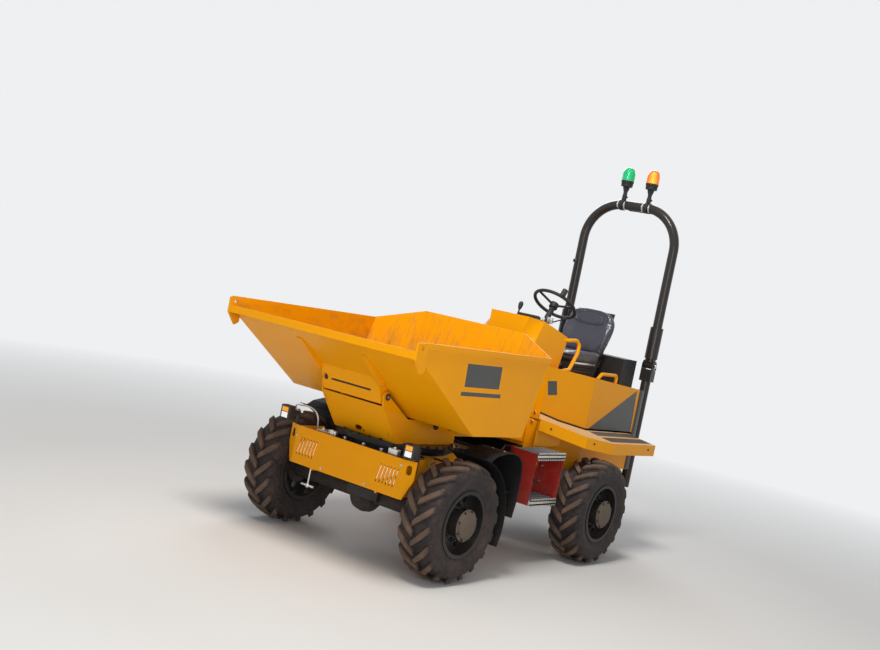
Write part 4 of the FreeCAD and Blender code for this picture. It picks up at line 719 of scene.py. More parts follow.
class DUMPER_OT_tyres(bpy.types.Operator):
    """Builds the four lugged tyres"""

    bl_idname = "dumper.tyres"
    bl_label = "Tyres"

    def execute(self, context):
        for wheel, (centre, side) in WHEELS.items():
            bm = tyre_shape(context.scene.dumper_tyres, side)
            bm.transform(Matrix.Translation(centre))
            piece = finish_piece("tyre_" + wheel + "_lugged", bm, "wheel_" + wheel, "tyre_rubber",
                                 slot="tyre_rubber")
            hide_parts("tyre_" + wheel)
        return {"FINISHED"}


class DUMPER_OT_wheel_fixings(bpy.types.Operator):
    """Adds hub covers, wheel nuts and valves to the rims"""

    bl_idname = "dumper.wheel_fixings"
    bl_label = "Wheel fixings"

    def execute(self, context):
        bolt = context.scene.dumper_fittings.bolt
        for wheel, (centre, side) in WHEELS.items():
            out = Vector((0, side, 0))
            cover = turned([(0.0, 0.1453), (0.0825, 0.1453), (0.0848, 0.1440), (0.0850, 0.1335), (0.0870, 0.1320),
                            (0.1000, 0.1315), (0.1015, 0.1300), (0.1015, 0.1265), (0.0845, 0.1265)], steps=64)
            cover.transform(aimed(centre, out))
            shapes = [with_finish(cover, 1)]
            for i in range(8):
                a = 2 * pi * i / 8 + 0.3
                spot = centre + Vector((cos(a), 0, sin(a))) * 0.0933 + out * 0.1313
                shapes.append(placed(hex_bolt(0.012, 0.008), aimed(spot, out, a)))
            for i in range(8):
                a = 2 * pi * i / 8
                spot = centre + Vector((cos(a), 0, sin(a))) * 0.110 + out * 0.040
                nut = joined(hex_bolt(bolt * 1.3, 0.018), placed(drum(0.007, 0.034), Matrix()))
                shapes.append(placed(nut, aimed(spot, out, a)))
            a = 1.1
            valve = joined(drum(0.006, 0.030, bevel=0.001, sides=14),
                           placed(drum(0.0045, 0.012, bevel=0.001, sides=12), Matrix.Translation((0, 0, 0.029))))
            spot = centre + Vector((cos(a), 0, sin(a))) * 0.182 + out * 0.072
            shapes.append(placed(valve, aimed(spot, out - Vector((cos(a), 0, sin(a))) * 0.5)))
            finish_piece("wheel_fixings_" + wheel, joined(*shapes), "wheel_" + wheel,
                         "black_paint", "hub_cover", slot="black_paint")
        return {"FINISHED"}


# Seat
def swollen(name, bm, sizes):
    """Remeshes a pad, swells it with a cloth simulation and gives it back as a bmesh."""
    mesh = bpy.data.meshes.new(name)
    bm.to_mesh(mesh)
    bm.free()
    pad = bpy.data.objects.new(name, mesh)
    bpy.context.collection.objects.link(pad)
    remesh = pad.modifiers.new("remesh", "REMESH")
    remesh.mode = "VOXEL"
    remesh.voxel_size = sizes.voxel
    view = bpy.context.evaluated_depsgraph_get()
    skin = bpy.data.meshes.new_from_object(pad.evaluated_get(view))
    pad.modifiers.clear()
    pad.data = skin
    rest = [v.co.copy() for v in skin.vertices]
    cloth = pad.modifiers.new("swell", "CLOTH")
    cloth.settings.use_pressure = True
    cloth.settings.uniform_pressure_force = sizes.pressure
    cloth.settings.effector_weights.gravity = 0.0
    cloth.settings.tension_stiffness = 60.0
    cloth.settings.compression_stiffness = 60.0
    cloth.settings.bending_stiffness = 5.0
    cloth.point_cache.frame_end = 20
    for step in range(1, 21):
        bpy.context.scene.frame_set(step)
    view = bpy.context.evaluated_depsgraph_get()
    moved = bpy.data.meshes.new_from_object(pad.evaluated_get(view))
    for vert, start in zip(moved.vertices, rest):
        away = vert.co - start
        if away.length > sizes.swell:
            vert.co = start + away.normalized() * sizes.swell
    pad.modifiers.clear()
    pad.data = moved
    bpy.context.scene.frame_set(1)
    out = bmesh.new()
    out.from_mesh(pad.data)
    bpy.data.objects.remove(pad)
    for _ in range(6):
        bmesh.ops.smooth_vert(out, verts=out.verts, factor=0.5, use_axis_x=True, use_axis_y=True,
                              use_axis_z=True)
    return out


def backrest():
    """Front, edges and wings of the seat's back, before it swells, standing on the origin."""
    bm = bmesh.new()
    bmesh.ops.create_cube(bm, size=1.0)
    bmesh.ops.subdivide_edges(bm, edges=list(bm.edges), cuts=11, use_grid_fill=True)
    for vert in bm.verts:
        deep, wide, tall = vert.co.x * 2, vert.co.y * 2, vert.co.z + 0.5
        # rounded outline: full width near two thirds of the height, narrower at the foot and top
        half = 0.176 + 0.042 * sin(min(1.0, tall / 0.62) * pi / 2)
        half *= (1 - max(0.0, (tall - 0.62) / 0.38) ** 2.8 * 0.26)
        y = wide * half
        crown = 0.022 * abs(wide) ** 3.0 * max(0.0, (tall - 0.4) / 0.6)
        z = tall * (0.388 - crown)
        wing = 0.030 * max(0.0, abs(wide) - 0.42) ** 1.3 / 0.58 ** 1.3 * sin(pi * min(1.0, tall * 1.25 + 0.05))
        lumbar = 0.012 * exp(-((tall - 0.28) / 0.22) ** 2) * (1 - wide * wide)
        front = 0.026 + wing + lumbar
        back = -0.034 * (1 - 0.25 * wide * wide)
        x = back + (front - back) * (deep * 0.5 + 0.5)
        vert.co = (x, y, z)
    bmesh.ops.smooth_vert(bm, verts=bm.verts, factor=0.35, use_axis_x=True, use_axis_y=True, use_axis_z=True)
    lean = Matrix.Rotation(-radians(12), 4, "Y")
    bm.transform(Matrix.Translation((-1.3475, 0, 1.4525)) @ lean)
    return bm


def cushion():
    """The seat's cushion before it swells: rounded front, raised sides and a dished middle."""
    bm = bmesh.new()
    bmesh.ops.create_cube(bm, size=1.0)
    bmesh.ops.subdivide_edges(bm, edges=list(bm.edges), cuts=11, use_grid_fill=True)
    for vert in bm.verts:
        along, wide, tall = vert.co.x * 2, vert.co.y * 2, vert.co.z + 0.5
        half = 0.213 + 0.019 * (1 - ((along + 1) / 2 - 0.55) ** 2 * 2.0)
        x = along * (0.203 - 0.020 * abs(wide) ** 4)
        side = 0.016 * max(0.0, abs(wide) - 0.5) ** 1.2 / 0.5 ** 1.2
        dish = -0.012 * (1 - along * along) * (1 - wide * wide)
        knee = -0.018 * max(0.0, along - 0.55) ** 2 / 0.2
        z = tall * (0.064 + side + dish + knee)
        vert.co = (x, wide * half, z)
    bmesh.ops.smooth_vert(bm, verts=bm.verts, factor=0.35, use_axis_x=True, use_axis_y=True, use_axis_z=True)
    bm.transform(Matrix.Translation((-1.085, 0, 1.4145)))
    return bm


class DUMPER_OT_seat(bpy.types.Operator):
    """Builds the padded seat and its piping"""

    bl_idname = "dumper.seat"
    bl_label = "Seat"

    def execute(self, context):
        sizes = context.scene.dumper_seat
        for name, shape, node in (("seat_back_pad", backrest(), "seat_back"),
                                  ("seat_cushion_pad", cushion(), "seat_cushion")):
            pad = finish_piece(name, swollen(name, shape, sizes), "rear_frame", "vinyl", smooth=180.0,
                               slot="vinyl")
            smooth = pad.modifiers.new("skin", "SUBSURF")
            smooth.levels = 1
            smooth.render_levels = 1
            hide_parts(node)
        piping = rod_along([(-1.275, 0.202, 1.468), (-1.13, 0.220, 1.474), (-0.99, 0.221, 1.472),
                            (-0.905, 0.202, 1.458), (-0.884, 0.10, 1.452), (-0.881, 0.0, 1.450),
                            (-0.884, -0.10, 1.452), (-0.905, -0.202, 1.458), (-0.99, -0.221, 1.472),
                            (-1.13, -0.220, 1.474), (-1.275, -0.202, 1.468)], 0.0045)
        finish_piece("seat_piping", piping, "rear_frame", "vinyl", slot="vinyl")
        return {"FINISHED"}


# Lamps
class DUMPER_OT_beacons(bpy.types.Operator):
    """Builds the green and amber beacons on the hoop"""

    bl_idname = "dumper.beacons"
    bl_label = "Beacons"

    def execute(self, context):
        for name, node, y, finish in (("beacon_green", "beacon_lens_green", -0.118, "green_lens"),
                                      ("beacon_amber", "beacon_lens_amber", 0.110, "amber_lens")):
            foot = Vector((-1.73, y, 2.918))
            dome = [(0.0, 0.1172), (0.012, 0.1165), (0.024, 0.1130), (0.034, 0.1060), (0.0415, 0.0950),
                    (0.0455, 0.0800), (0.0485, 0.0580), (0.0505, 0.0300), (0.0512, 0.0080), (0.0515, 0.0)]
            inner = [(r - 0.0028 if r > 0.003 else 0.0, z - 0.0028 if z > 0.1 else z) for r, z in reversed(dome)]
            shell = turned(dome + inner, steps=60)
            ribs = [placed(cuboid((0.0475, -0.0012, 0.006), (0.0512, 0.0012, 0.072), 0.0008),
                           Matrix.Rotation(2 * pi * i / 20, 4, "Z")) for i in range(20)]
            shell = joined(shell, *ribs)
            shell.transform(Matrix.Translation(foot))
            piece = finish_piece(name + "_dome", shell, "rops_hoop", finish, slot=finish)
            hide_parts(node)
            # the bulb inside the dome; its finish glows, painted light standing in for a bright reflection
            lamp = turned([(0.0, 0.004), (0.040, 0.004), (0.040, 0.010), (0.016, 0.016), (0.014, 0.060),
                           (0.010, 0.074), (0.0, 0.078)], steps=32)
            lamp.transform(Matrix.Translation(foot))
            finish_piece(name + "_lamp", lamp, "rops_hoop", finish.replace("lens", "lamp"), slot="lamp_face")
            collar = turned([(0.0455, -0.044), (0.0478, -0.042), (0.0478, -0.034), (0.0462, -0.032),
                             (0.0462, -0.014), (0.0520, -0.010), (0.0522, 0.004), (0.0505, 0.006),
                             (0.0490, 0.001), (0.0440, -0.044)], steps=56, closed=True)
            skirt = [placed(cuboid((0.0455, -0.002, -0.030), (0.0485, 0.002, -0.014), 0.0006),
                            Matrix.Rotation(2 * pi * i / 24, 4, "Z")) for i in range(24)]
            base = joined(collar, *skirt)
            base.transform(Matrix.Translation(foot))
            stem = turned([(0.0122, -0.086), (0.0190, -0.084), (0.0200, -0.080), (0.0300, -0.046),
                           (0.0380, -0.0425), (0.0122, -0.0425)], steps=36, closed=True)
            stem.transform(Matrix.Translation(foot))
            ring = turned([(0.0124, -0.150), (0.0185, -0.150), (0.0195, -0.146), (0.0195, -0.118), (0.0168, -0.112),
                           (0.0168, -0.084), (0.0124, -0.084)], steps=28, closed=True)
            ring.transform(Matrix.Translation(foot))
            wing = joined(cuboid((0.016, -0.003, -0.006), (0.046, 0.003, 0.006), 0.002),
                          placed(drum(0.008, 0.014, bevel=0.001, sides=16), Matrix.Translation((0.034, 0, -0.007))))
            wing.transform(Matrix.Translation(foot + Vector((0, 0, -0.132))) @ Matrix.Rotation(1.1, 4, "Z"))
            finish_piece(name + "_base", joined(base, stem, ring, wing), "rops_hoop", "black_plastic",
                         slot="black_plastic")
        return {"FINISHED"}


class DUMPER_OT_lamps(bpy.types.Operator):
    """Adds reflectors, lenses and bezels to the head, side and rear lamps"""

    bl_idname = "dumper.lamps"
    bl_label = "Lamps"

    def execute(self, context):
        for side, word in ((1, "left"), (-1, "right")):
            centre = Vector((1.2755, side * 0.342, 0.58))
            face = turned([(0.0, -0.030), (0.012, -0.029), (0.030, -0.018), (0.044, -0.002), (0.047, 0.0),
                           (0.047, -0.004), (0.0, -0.036)], steps=40)
            face.transform(aimed(centre, (1, 0, 0)))
            finish_piece("headlamp_reflector_" + word, face, "front_frame", "lamp_face", slot="lamp_face")
            glass = turned([(0.0, 0.0016), (0.030, 0.0008), (0.0475, -0.002), (0.0475, -0.005),
                            (0.030, -0.0022), (0.0, -0.0014)], steps=40)
            glass.transform(aimed(centre, (1, 0, 0)))
            finish_piece("headlamp_glass_" + word, glass, "front_frame", "clear_lens", slot="lamp_face")
            y0 = side * 0.524 - 0.033
            top = cuboid((1.345, y0 + 0.007, 0.779), (1.3605, y0 + 0.059, 0.809), 0.004, 3)
            low = cuboid((1.345, y0 + 0.007, 0.739), (1.3600, y0 + 0.059, 0.775), 0.004, 3)
            # the side lamps' lenses glow a little: painted light
            finish_piece("side_lamp_amber_" + word, top, "front_frame", "side_amber", slot="amber_lens")
            finish_piece("side_lamp_clear_" + word, low, "front_frame", "side_clear", slot="lamp_face")
            frame_ring = cuboid((1.340, y0 - 0.007, 0.729), (1.356, y0 + 0.073, 0.819), 0.005, 3)
            finish_piece("side_lamp_bezel_" + word, frame_ring, "front_frame", "black_plastic",
                         slot="black_plastic")
            y1 = side * 0.3
            red = cuboid((-1.7215, y1 - 0.052, 1.151), (-1.706, y1 + 0.018, 1.209), 0.003, 3)
            amber = cuboid((-1.7215, y1 + 0.019, 1.151), (-1.706, y1 + 0.052, 1.209), 0.003, 3)
            if side < 0:
                flip = Matrix.Translation((0, 2 * y1, 0)) @ Matrix.Diagonal((1, -1, 1, 1))
                for shape in (red, amber):
                    shape.transform(flip)
                    bmesh.ops.recalc_face_normals(shape, faces=shape.faces)
            finish_piece("rear_lamp_" + word, joined(with_finish(red, 0), with_finish(amber, 1)), "rear_frame",
                         "red_lens", "amber_lens", slot="red_lens")
        return {"FINISHED"}


# Steps and strips
def toothed_tread(x0, x1, y0, y1, z, lip, pitch):
    """A folded tread with rows of teeth and a toothed nose. Its top takes the first finish, a darker copy of the
    nose's metal as painted shade, and its nose the second.
    """
    shapes = [cuboid((x0, y0, z), (x1, y1, z + 0.0035), 0.001)]
    nose = cuboid((x0, y1 - 0.0035, z - lip), (x1, y1, z + 0.001), 0.001)
    count = int((x1 - x0 - 0.01) / pitch)
    fine = pitch * 0.62
    for row in range(5):
        y = y0 + 0.022 + row * (y1 - y0 - 0.036) / 4
        for i in range(int((x1 - x0) / fine)):
            x = x0 + 0.012 + i * fine + (fine / 2 if row % 2 else 0.0)
            if x > x1 - 0.008:
                continue
            tooth = turned([(0.0078, 0.0), (0.0072, 0.0035), (0.0048, 0.0062), (0.0036, 0.0036), (0.0030, 0.0)],
                           steps=10)
            shapes.append(placed(tooth, Matrix.Translation((x, y, z + 0.0033))))
    edge = [(x0, -0.010)]
    for i in range(count):
        x = x0 + 0.006 + i * pitch
        edge += [(x, 0.0), (x + pitch * 0.2, 0.0100), (x + pitch * 0.6, 0.0100), (x + pitch * 0.8, 0.0)]
    edge += [(x1, 0.0), (x1, -0.010)]
    crest = plate(edge, 0.0035)
    crest.transform(Matrix.Translation((0, y1, z + 0.003)) @ Matrix.Rotation(pi / 2, 4, "X"))
    foot = plate(edge, 0.0035)
    foot.transform(Matrix.Translation((0, y1 - 0.0035, z - lip + 0.001)) @ Matrix.Rotation(-pi / 2, 4, "X"))
    return joined(with_finish(joined(*shapes), 0), with_finish(joined(nose, crest, foot), 1))


class DUMPER_OT_treads(bpy.types.Operator):
    """Builds the toothed step treads, and the pressed ovals and bolts behind them"""

    bl_idname = "dumper.treads"
    bl_label = "Treads"

    def execute(self, context):
        sizes = context.scene.dumper_fittings
        low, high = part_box("step_treads")
        lower = toothed_tread(-0.264, 0.091, 0.470, 0.663, 0.468, 0.034, sizes.tooth)
        upper = toothed_tread(low[0], high[0], 0.470, 0.663, 0.790, 0.034, sizes.tooth)
        piece = finish_piece("step_treads_toothed", joined(lower, upper), "rear_frame", "shaded_tread_top",
                             "zinc_tread", slot="zinc_tread")
        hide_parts("step_treads")

        # pressed ovals and bolts on the plate behind the treads
        dents = [placed(turned([(0.020, 0.0), (0.021, 0.003), (0.0235, 0.003), (0.0245, 0.0)], steps=28, closed=True),
                        aimed((-0.2642, y, z), (1, 0, 0)) @ Matrix.Diagonal((1, 0.62, 1, 1)))
                 for y, z in ((0.535, 0.712), (0.610, 0.712), (0.535, 0.628), (0.610, 0.628), (0.572, 0.545))]
        finish_piece("step_dents", joined(*dents), "rear_frame", "red_paint", slot="red_paint")
        heads = [placed(hex_bolt(0.015, 0.008), aimed((-0.2642, 0.492, z), (1, 0, 0))) for z in (0.670, 0.560)]
        finish_piece("step_bolts", joined(*heads), "rear_frame", "bright_zinc", slot="bare_steel")
        return {"FINISHED"}


# Panels
def ribbon(first, second, thickness):
    """A sheet between two lines of as many points, thickened downwards."""
    bm = bmesh.new()
    edges = []
    for line in (first, second):
        verts = [bm.verts.new(point) for point in line]
        edges += [bm.edges.new(pair) for pair in zip(verts, verts[1:])]
    sheet = bmesh.ops.bridge_loops(bm, edges=edges)["faces"]
    grown = bmesh.ops.extrude_face_region(bm, geom=sheet)
    lower = [v for v in grown["geom"] if isinstance(v, bmesh.types.BMVert)]
    bmesh.ops.translate(bm, vec=(0, 0, -thickness), verts=lower)
    bmesh.ops.recalc_face_normals(bm, faces=bm.faces)
    return bm


def on_plane(shape, origin, along, up, out):
    """Moves a shape made in X, Y and Z to an upright plane: two directions in it and the way out of it."""
    turn = Matrix([Vector(way).normalized() for way in (along, up, out)]).transposed()
    shape.transform(Matrix.Translation(origin) @ turn.to_4x4())
    bmesh.ops.recalc_face_normals(shape, faces=shape.faces)
    return shape


def mirrored(shape, side):
    """The shape for the left side, or its mirror image for the right."""
    if side < 0:
        shape.transform(Matrix.Diagonal((1, -1, 1, 1)))
        bmesh.ops.recalc_face_normals(shape, faces=shape.faces)
    return shape


class DUMPER_OT_panels(bpy.types.Operator):
    """Adds the blank panels on the skip's and the body's sides"""

    bl_idname = "dumper.panels"
    bl_label = "Blank panels"

    def execute(self, context):
        forward, up, out = (1, 0, 0), (0, 0, 1), (0, 1, 0)
        facet = ((-0.32, 0.3522, 0), (-0.9833, 0.1818, 0), up, (0.1818, 0.9833, 0))
        for side, word in ((1, "left"), (-1, "right")):
            # corners on the skip's side as (x, z)
            patch = plate([(1.272, 1.366), (0.902, 1.366), (0.893, 1.226), (1.263, 1.226)], 0.0008)
            stripe = plate([(1.284, 1.196), (0.860, 1.196), (0.862, 1.172), (1.286, 1.172)], 0.0008)
            shape = on_plane(joined(patch, stripe), (0, 0.7613, 0), forward, up, out)
            finish_piece("skip_panel_" + word, mirrored(shape, side), "skip", "panel_film", slot="black_paint")
            wedge = plate([(-1.553, 1.257), (-0.853, 0.919), (-1.585, 0.915)], 0.0008)
            wedge = on_plane(wedge, (0, 0.4504, 0), forward, up, out)
            label = plate([(0.0183, 1.256), (0.1139, 1.264), (0.1454, 1.163), (0.0488, 1.155)], 0.0008)
            label = on_plane(label, *facet)
            finish_piece("body_panel_" + word, mirrored(joined(wedge, label), side), "rear_frame",
                         "panel_film", slot="black_paint")
            # sloped top of the running board, from the body out to the edge
            inner = [(-0.245, 0.405, 0.9835), (-0.322, 0.3525, 1.016), (-0.530, 0.391, 0.972), (-0.850, 0.4505, 0.926),
                     (-1.540, 0.4505, 0.912), (-1.640, 0.4505, 0.905)]
            outer = [(-0.235, 0.518, 0.9825), (-0.322, 0.566, 0.962), (-0.512, 0.6685, 0.9200), (-0.830, 0.7205, 0.8865),
                     (-1.540, 0.7095, 0.8755), (-1.648, 0.458, 0.8770)]
            top = ribbon(inner, outer, 0.004)
            finish_piece("board_top_" + word, mirrored(top, side), "rear_frame", "board_dust_and_highlight",
                         slot="yellow_paint")
            # a dark strip along the body's foot: painted shadow in the gap between the body and the board
            gap_shadow_strip = ribbon([(x + 0.001, y + 0.0026, z + 0.0135) for x, y, z in inner[1:]],
                          [(x + 0.001, y + 0.0026, z + 0.0035) for x, y, z in inner[1:]], 0.002)
            strips = []
            for low, high in ((0.10, 0.40), (0.54, 0.86)):
                edges = [[Vector(a).lerp(b, share) + Vector((0, 0, 0.0022)) for a, b in zip(inner, outer)][3:5]
                         for share in (low, high)]
                strips.append(ribbon([edge[0].lerp(edge[1], 0.03) for edge in edges],
                                     [edge[0].lerp(edge[1], 0.98) for edge in edges], 0.002))
            finish_piece("board_grip_and_gap_shadow_" + word, mirrored(joined(gap_shadow_strip, *strips), side), "rear_frame",
                         "grip_and_gap_shadow", slot="black_plastic")
            # dark cover over the post's foot, and the line in front of it
            cover = plate([(-1.604, 1.2665), (-1.6815, 1.2605), (-1.6815, 0.622), (-1.604, 0.622)], 0.003, 0.0006)
            cover = on_plane(cover, (0, 0.4502, 0), forward, up, out)
            finish_piece("post_cover_" + word, mirrored(cover, side), "rear_frame", "grey_tube",
                         slot="grey_tube")
        return {"FINISHED"}


# Front trim
class DUMPER_OT_front_trim(bpy.types.Operator):
    """Adds the deck plate, flaps, lock rod, bolts, and the painted reflection behind the headlamp louvres, to the
    front chassis
    """

    bl_idname = "dumper.front_trim"
    bl_label = "Front trim"

    def execute(self, context):
        forward, up = (1, 0, 0), (0, 0, 1)
        deck = plate([(1.278, -0.215), (1.278, 0.440), (1.06, 0.440), (1.00, 0.375), (1.14, 0.21), (1.186, 0.0),
                      (1.17, -0.16), (1.13, -0.215)], 0.0035)
        deck.transform(Matrix.Translation((0, 0, 0.7022)))
        skid = cuboid((1.222, 0.040, 0.392), (1.270, 0.288, 0.456), 0.006, 3)
        foot = cuboid((1.150, 0.060, 0.436), (1.228, 0.268, 0.452), 0.003)
        finish_piece("front_deck", joined(deck, skid, foot), "front_frame", "black_paint", slot="black_paint")

        tilt = Matrix.Translation((1.19, -0.285, 0.704)) @ Matrix.Rotation(0.25, 4, "Z")
        latch = placed(cuboid((-0.05, -0.052, 0.0), (0.05, 0.052, 0.006), 0.002), tilt)
        stop = cuboid((1.228, 0.300, 0.704), (1.266, 0.372, 0.744), 0.004)
        block = cuboid((1.236, -0.190, 0.704), (1.268, -0.140, 0.735), 0.004)
        eye = placed(turned([(0.0075, 0.0), (0.015, 0.0), (0.015, 0.007), (0.0075, 0.007)], steps=28, closed=True),
                     aimed((1.268, -0.165, 0.727), forward))
        finish_piece("deck_blocks", joined(latch, stop, block, eye), "front_frame", "bright_zinc",
                     slot="bare_steel")

        # x, y, z, direction, width across the flats
        bolts = (
            (1.285, -0.436, 0.641, forward, 0.013), (1.285, 0.441, 0.668, forward, 0.013),
            (1.285, -0.185, 0.484, forward, 0.013), (1.285, 0.185, 0.484, forward, 0.013),
            (1.225, -0.090, 0.7057, up, 0.019), (1.235, 0.075, 0.7057, up, 0.019), (1.225, 0.215, 0.7057, up, 0.019),
            (1.190, -0.315, 0.710, up, 0.019), (1.190, -0.255, 0.710, up, 0.019),
            (1.247, 0.336, 0.744, up, 0.017),
        )
        shapes = [placed(hex_bolt(across, across * 0.55), aimed((x, y, z), way, x * 7))
                  for x, y, z, way, across in bolts]
        finish_piece("front_bolts", joined(*shapes), "front_frame", "bright_zinc", slot="bare_steel")

        rod = placed(drum(0.0065, 0.118, sides=20), Matrix.Translation((1.256, -0.296, 0.340)))
        bar = placed(drum(0.0085, 0.112, bevel=0.003, sides=20), aimed((1.256, -0.352, 0.343), (0, 1, 0)))
        boss = placed(drum(0.0125, 0.024, bevel=0.002, sides=24), Matrix.Translation((1.256, -0.296, 0.331)))
        finish_piece("lock_rod", joined(rod, bar, boss), "front_frame", "bright_zinc", slot="bare_steel")

        hoop = rod_along([(1.236, -0.512, 0.785), (1.240, -0.545, 0.812), (1.238, -0.500, 0.828),
                          (1.232, -0.400, 0.826), (1.222, -0.365, 0.800), (1.205, -0.350, 0.705)], 0.0055)
        finish_piece("front_bracket", hoop, "front_frame", "bright_zinc", slot="bare_steel")

        for side, word in ((1, "left"), (-1, "right")):
            # pale bands behind the louvres that glow a little: painted reflection of the headlamps' reflectors
            bands = [cuboid((1.2758, 0.262 + 0.0295 * i, 0.534), (1.2766, 0.262 + 0.0295 * i + 0.024, 0.628))
                     for i in range(6)]
            finish_piece("painted_reflection_band_" + word, mirrored(joined(*bands), side), "front_frame", "headlamp_painted_reflection",
                         slot="lamp_face")
            # profile of the flap behind the mudguard, as (x, z)
            flap = [(0.862, 0.778), (0.80, 0.812), (0.70, 0.832), (0.62, 0.832), (0.55, 0.812), (0.503, 0.768),
                    (0.483, 0.700), (0.479, 0.610), (0.482, 0.500), (0.498, 0.412)]
            inner = [(x + 0.006, z - 0.006) for x, z in reversed(flap)]
            sheet = plate(flap + inner, 0.235, bevel=0.0015)
            sheet = on_plane(sheet, (0, 0.5645, 0), forward, up, (0, 1, 0))
            brace = joined(cuboid((0.484, 0.600, 0.560), (0.596, 0.626, 0.572), 0.002),
                           cuboid((0.484, 0.730, 0.560), (0.596, 0.756, 0.572), 0.002))
            heads = [placed(hex_bolt(0.016, 0.008), aimed((x, y, z), (0.75, 0, 0.66)))
                     for x, y, z in ((0.660, 0.655, 0.828), (0.660, 0.745, 0.828))]
            finish_piece("guard_flap_" + word, mirrored(joined(sheet, brace), side), "front_frame",
                         "guard_rubber", slot="black_plastic")
            finish_piece("guard_bolts_" + word, mirrored(joined(*heads), side), "front_frame", "bright_zinc",
                         slot="bare_steel")
        return {"FINISHED"}


# Turntable, skip and pins
class DUMPER_OT_skip_trim(bpy.types.Operator):
    """Adds ring bolts and pin keepers to the turntable, and dark pieces as painted shade in the hinge box's hole and
    slot
    """

    bl_idname = "dumper.skip_trim"
    bl_label = "Skip trim"

    def execute(self, context):
        centre = Vector((0.83, 0, 0.7565))
        heads = []
        for i in range(30):
            a = 2 * pi * i / 30
            spot = centre + Vector((cos(a), sin(a), 0)) * 0.378
            if not (-0.27 < spot.y < 0.27 and spot.x < 1.16):
                heads.append(placed(hex_bolt(0.017, 0.009), aimed(spot, (0, 0, 1), a)))
        finish_piece("ring_bolts", joined(*heads), "swivel", "black_paint", slot="black_paint")
        pins, keepers = [], []
        for side in (1, -1):
            for x, y, z, radius in ((0.8005, 0.285, 0.878, 0.020), (0.8005, 0.396, 0.889, 0.010)):
                ring = turned([(0.0, 0.001), (radius * 0.7, 0.001), (radius * 0.75, 0.003), (radius, 0.003),
                               (radius, 0.0)], steps=28)
                keepers.append(placed(ring, aimed((x, side * y, z), (1, 0, 0))))
            keepers.append(placed(drum(0.0225, 0.0035, bevel=0.001, sides=32),
                                  aimed((1.33, side * 0.2680, 1.05), (0, side, 0))))
            pins.append(placed(drum(0.0085, 0.0045, bevel=0.0015, sides=24),
                               aimed((1.33, side * 0.2700, 1.05), (0, side, 0))))
        finish_piece("turntable_pins", joined(*pins), "swivel", "bright_zinc", slot="bare_steel")
        finish_piece("turntable_grommets", joined(*keepers), "swivel", "black_plastic", slot="black_plastic")

        # the shade inside the hinge box's hole and slot
        hole = placed(drum(0.0195, 0.016, sides=40), aimed((1.3565, -0.212, 1.0774), (1, 0, 0)))
        slot = cuboid((1.3625, -0.1645, 1.0649), (1.3740, 0.1645, 1.0769))
        finish_piece("hinge_box_shade", joined(hole, slot), "skip", "black_plastic", slot="black_plastic")
        return {"FINISHED"}


